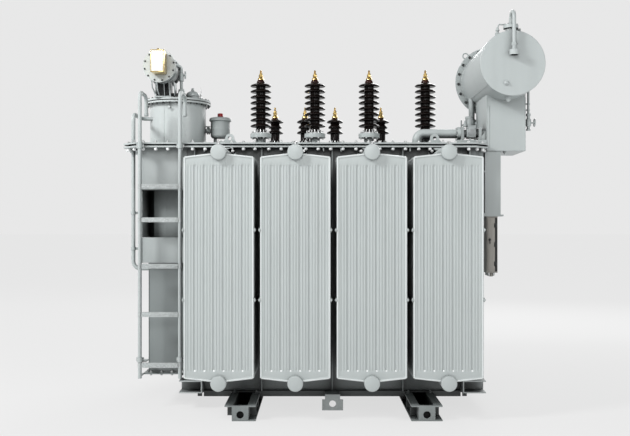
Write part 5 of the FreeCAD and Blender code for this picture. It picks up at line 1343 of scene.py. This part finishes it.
# ---- oil line and gas relay ------------------------------------------------------------------
# A wide bent pipe joins the tank to the conservator through a gas relay. The relay is a cast
# body with a sight window on each side, clamped between square bolted flanges.
repaint(tank_paint, "oil_pipes")
relay_low, relay_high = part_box("gas_relay")
oil_bolts = bmesh.new()
line_y, line_z = -0.390, 2.206
for y, z in circle(line_y, line_z, 0.0465, 8, 0.5):
    add_bolt(oil_bolts, (1.028, y, z), (-1, 0, 0), 0.0065, 0.004)
for y in (-0.040, 0.040):
    for z in (-0.040, 0.040):
        add_bolt(oil_bolts, (relay_low.x + 0.024, line_y + y, line_z + z), (1, 0, 0), 0.0075, 0.006)
        add_bolt(oil_bolts, (relay_high.x - 0.024, line_y + y, line_z + z), (-1, 0, 0), 0.0075, 0.006)
        add_bolt(oil_bolts, (relay_high.x, line_y + y, line_z + z), (1, 0, 0), 0.0075, 0.003)
drain_x, drain_y = 1.231, 0.060
for level in (2.290, 2.370):
    for spot in circle(drain_x, drain_y, 0.037, 4, 0.5):
        add_bolt(oil_bolts, (*spot, level), (0, 0, 1 if level > 2.3 else -1), 0.0055)
finish_piece("oil_line_bolts", oil_bolts, galvanized)
relay_paint = enamel("relay_casting_grey", (0.360, 0.392, 0.392), 0.5, 0.9)
repaint(relay_paint, "gas_relay")
relay = bmesh.new()
mid_x = (relay_low.x + relay_high.x) / 2
window_y = line_y - 0.040
add_block(relay, (mid_x - 0.038, window_y - 0.010, line_z - 0.034),
          (mid_x + 0.038, window_y + 0.002, line_z + 0.050), 0.004)
for x in (-0.030, 0.030):
    for z in (-0.026, 0.042):
        add_bolt(relay, (mid_x + x, window_y - 0.010, line_z + z), (0, -1, 0), 0.0045)
jar_x = mid_x - 0.012
add_turned(relay, [(0.034, 0), (0.034, 0.006), (0.029, 0.008)], (jar_x, line_y, 2.268), up, 32)
add_turned(relay,
           [(0.0285, 0), (0.0300, 0.003), (0.0300, 0.016), (0.024, 0.021), (0.012, 0.023), (0, 0.023)],
           (jar_x, line_y, 2.326), up, 32)
for spot in circle(jar_x, line_y, 0.031, 4, 0.5):
    add_rod(relay, (*spot, 2.270), (*spot, 2.332), 0.0028, 8)
add_turned(relay, [(0.017, 0), (0.017, 0.010), (0.010, 0.030), (0.005, 0.050), (0, 0.050)],
           (relay_low.x + 0.038, line_y - 0.02, 2.262), up, 20)
add_turned(relay, [(0.006, 0), (0.006, 0.022), (0.010, 0.024), (0.010, 0.034), (0, 0.036)],
           (relay_high.x - 0.040, line_y - 0.02, 2.262), up, 14)
finish_piece("relay_fittings", relay, relay_paint)
glass = enamel("relay_window_glass", (0.30, 0.315, 0.32), 0.10, 0.3)
pane = bmesh.new()
add_block(pane, (mid_x - 0.024, window_y - 0.0125, line_z - 0.018),
          (mid_x + 0.024, window_y - 0.010, line_z + 0.034), 0.001)
finish_piece("relay_sight_window", pane, glass)
drain = bmesh.new()
add_rod(drain, (drain_x - 0.044, drain_y, 2.330), (drain_x - 0.090, drain_y, 2.330), 0.007, 12)
add_block(drain, (drain_x - 0.096, drain_y - 0.006, 2.300), (drain_x - 0.086, drain_y + 0.006, 2.372), 0.002)
add_turned(drain, [(0.030, 0), (0.030, 0.010), (0.0265, 0.012)], (drain_x, drain_y, 2.371), up, 24)
finish_piece("drain_valve_lever", drain, tank_paint)

# ---- terminal box ----------------------------------------------------------------------------
# The control wiring ends in a narrow box of folded stainless sheet under the ledge, with a
# hinged door on its front, a lock and cable glands in its floor.
box_sheet = metal("folded_box_sheet", (0.30, 0.290, 0.265), 0.45, (90.0, 90.0, 3.0), 0.12, 0.20)
repaint(box_sheet, "terminal_box")
box_low, box_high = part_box("terminal_box")
door_metal = metal("brushed_door_sheet", (0.34, 0.325, 0.295), 0.48, (90.0, 90.0, 3.0), 0.12, 0.15)
door = bmesh.new()
body_low = box_low.z + 0.032
add_block(door, (box_low.x + 0.004, box_low.y - 0.006, body_low + 0.012),
          (box_high.x - 0.022, box_low.y + 0.001, box_high.z - 0.012), 0.002)
add_block(door, (box_low.x + 0.010, box_low.y - 0.009, body_low + 0.022),
          (box_high.x - 0.030, box_low.y - 0.005, box_high.z - 0.024), 0.002)
finish_piece("terminal_box_door", door, door_metal)
hardware = bmesh.new()
for share in (0.16, 0.5, 0.84):
    z = body_low + (box_high.z - body_low) * share
    add_rod(hardware, (box_high.x - 0.017, box_low.y - 0.008, z - 0.022),
            (box_high.x - 0.017, box_low.y - 0.008, z + 0.022), 0.0055, 12, 0.001)
    add_block(hardware, (box_high.x - 0.034, box_low.y - 0.008, z - 0.018),
              (box_high.x - 0.002, box_low.y - 0.001, z + 0.018), 0.001)
lock_z = (body_low + box_high.z) / 2 + 0.04
add_turned(hardware, [(0.011, 0), (0.011, 0.004), (0.008, 0.006), (0.008, 0.010), (0, 0.010)],
           (box_low.x + 0.024, box_low.y - 0.009, lock_z), (0, -1, 0), 20)
add_block(hardware, (box_low.x + 0.020, box_low.y - 0.022, lock_z - 0.034),
          (box_low.x + 0.028, box_low.y - 0.016, lock_z + 0.008), 0.002)
finish_piece("terminal_box_hardware", hardware, dark_bolt)
strip = bmesh.new()
add_block(strip, (box_high.x - 0.0225, box_low.y - 0.0015, body_low + 0.010),
          (box_high.x - 0.001, box_low.y + 0.0005, box_high.z - 0.010), 0.0005)
finish_piece("terminal_box_seal", strip, gasket_rubber)
glands = bmesh.new()
for share in (0.28, 0.72):
    x = box_low.x + (box_high.x - box_low.x) * share
    for y in (-0.400, -0.350, -0.300):
        add_turned(glands, [(0.0125, 0), (0.0125, 0.008)], (x, y, body_low - 0.010), up, 6)
        add_turned(glands, [(0.007, 0), (0.0105, 0.004), (0.0105, 0.016)], (x, y, body_low - 0.027), up, 20)
finish_piece("terminal_box_glands", glands, galvanized)

# ---- sizes -----------------------------------------------------------------------------------
low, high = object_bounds()
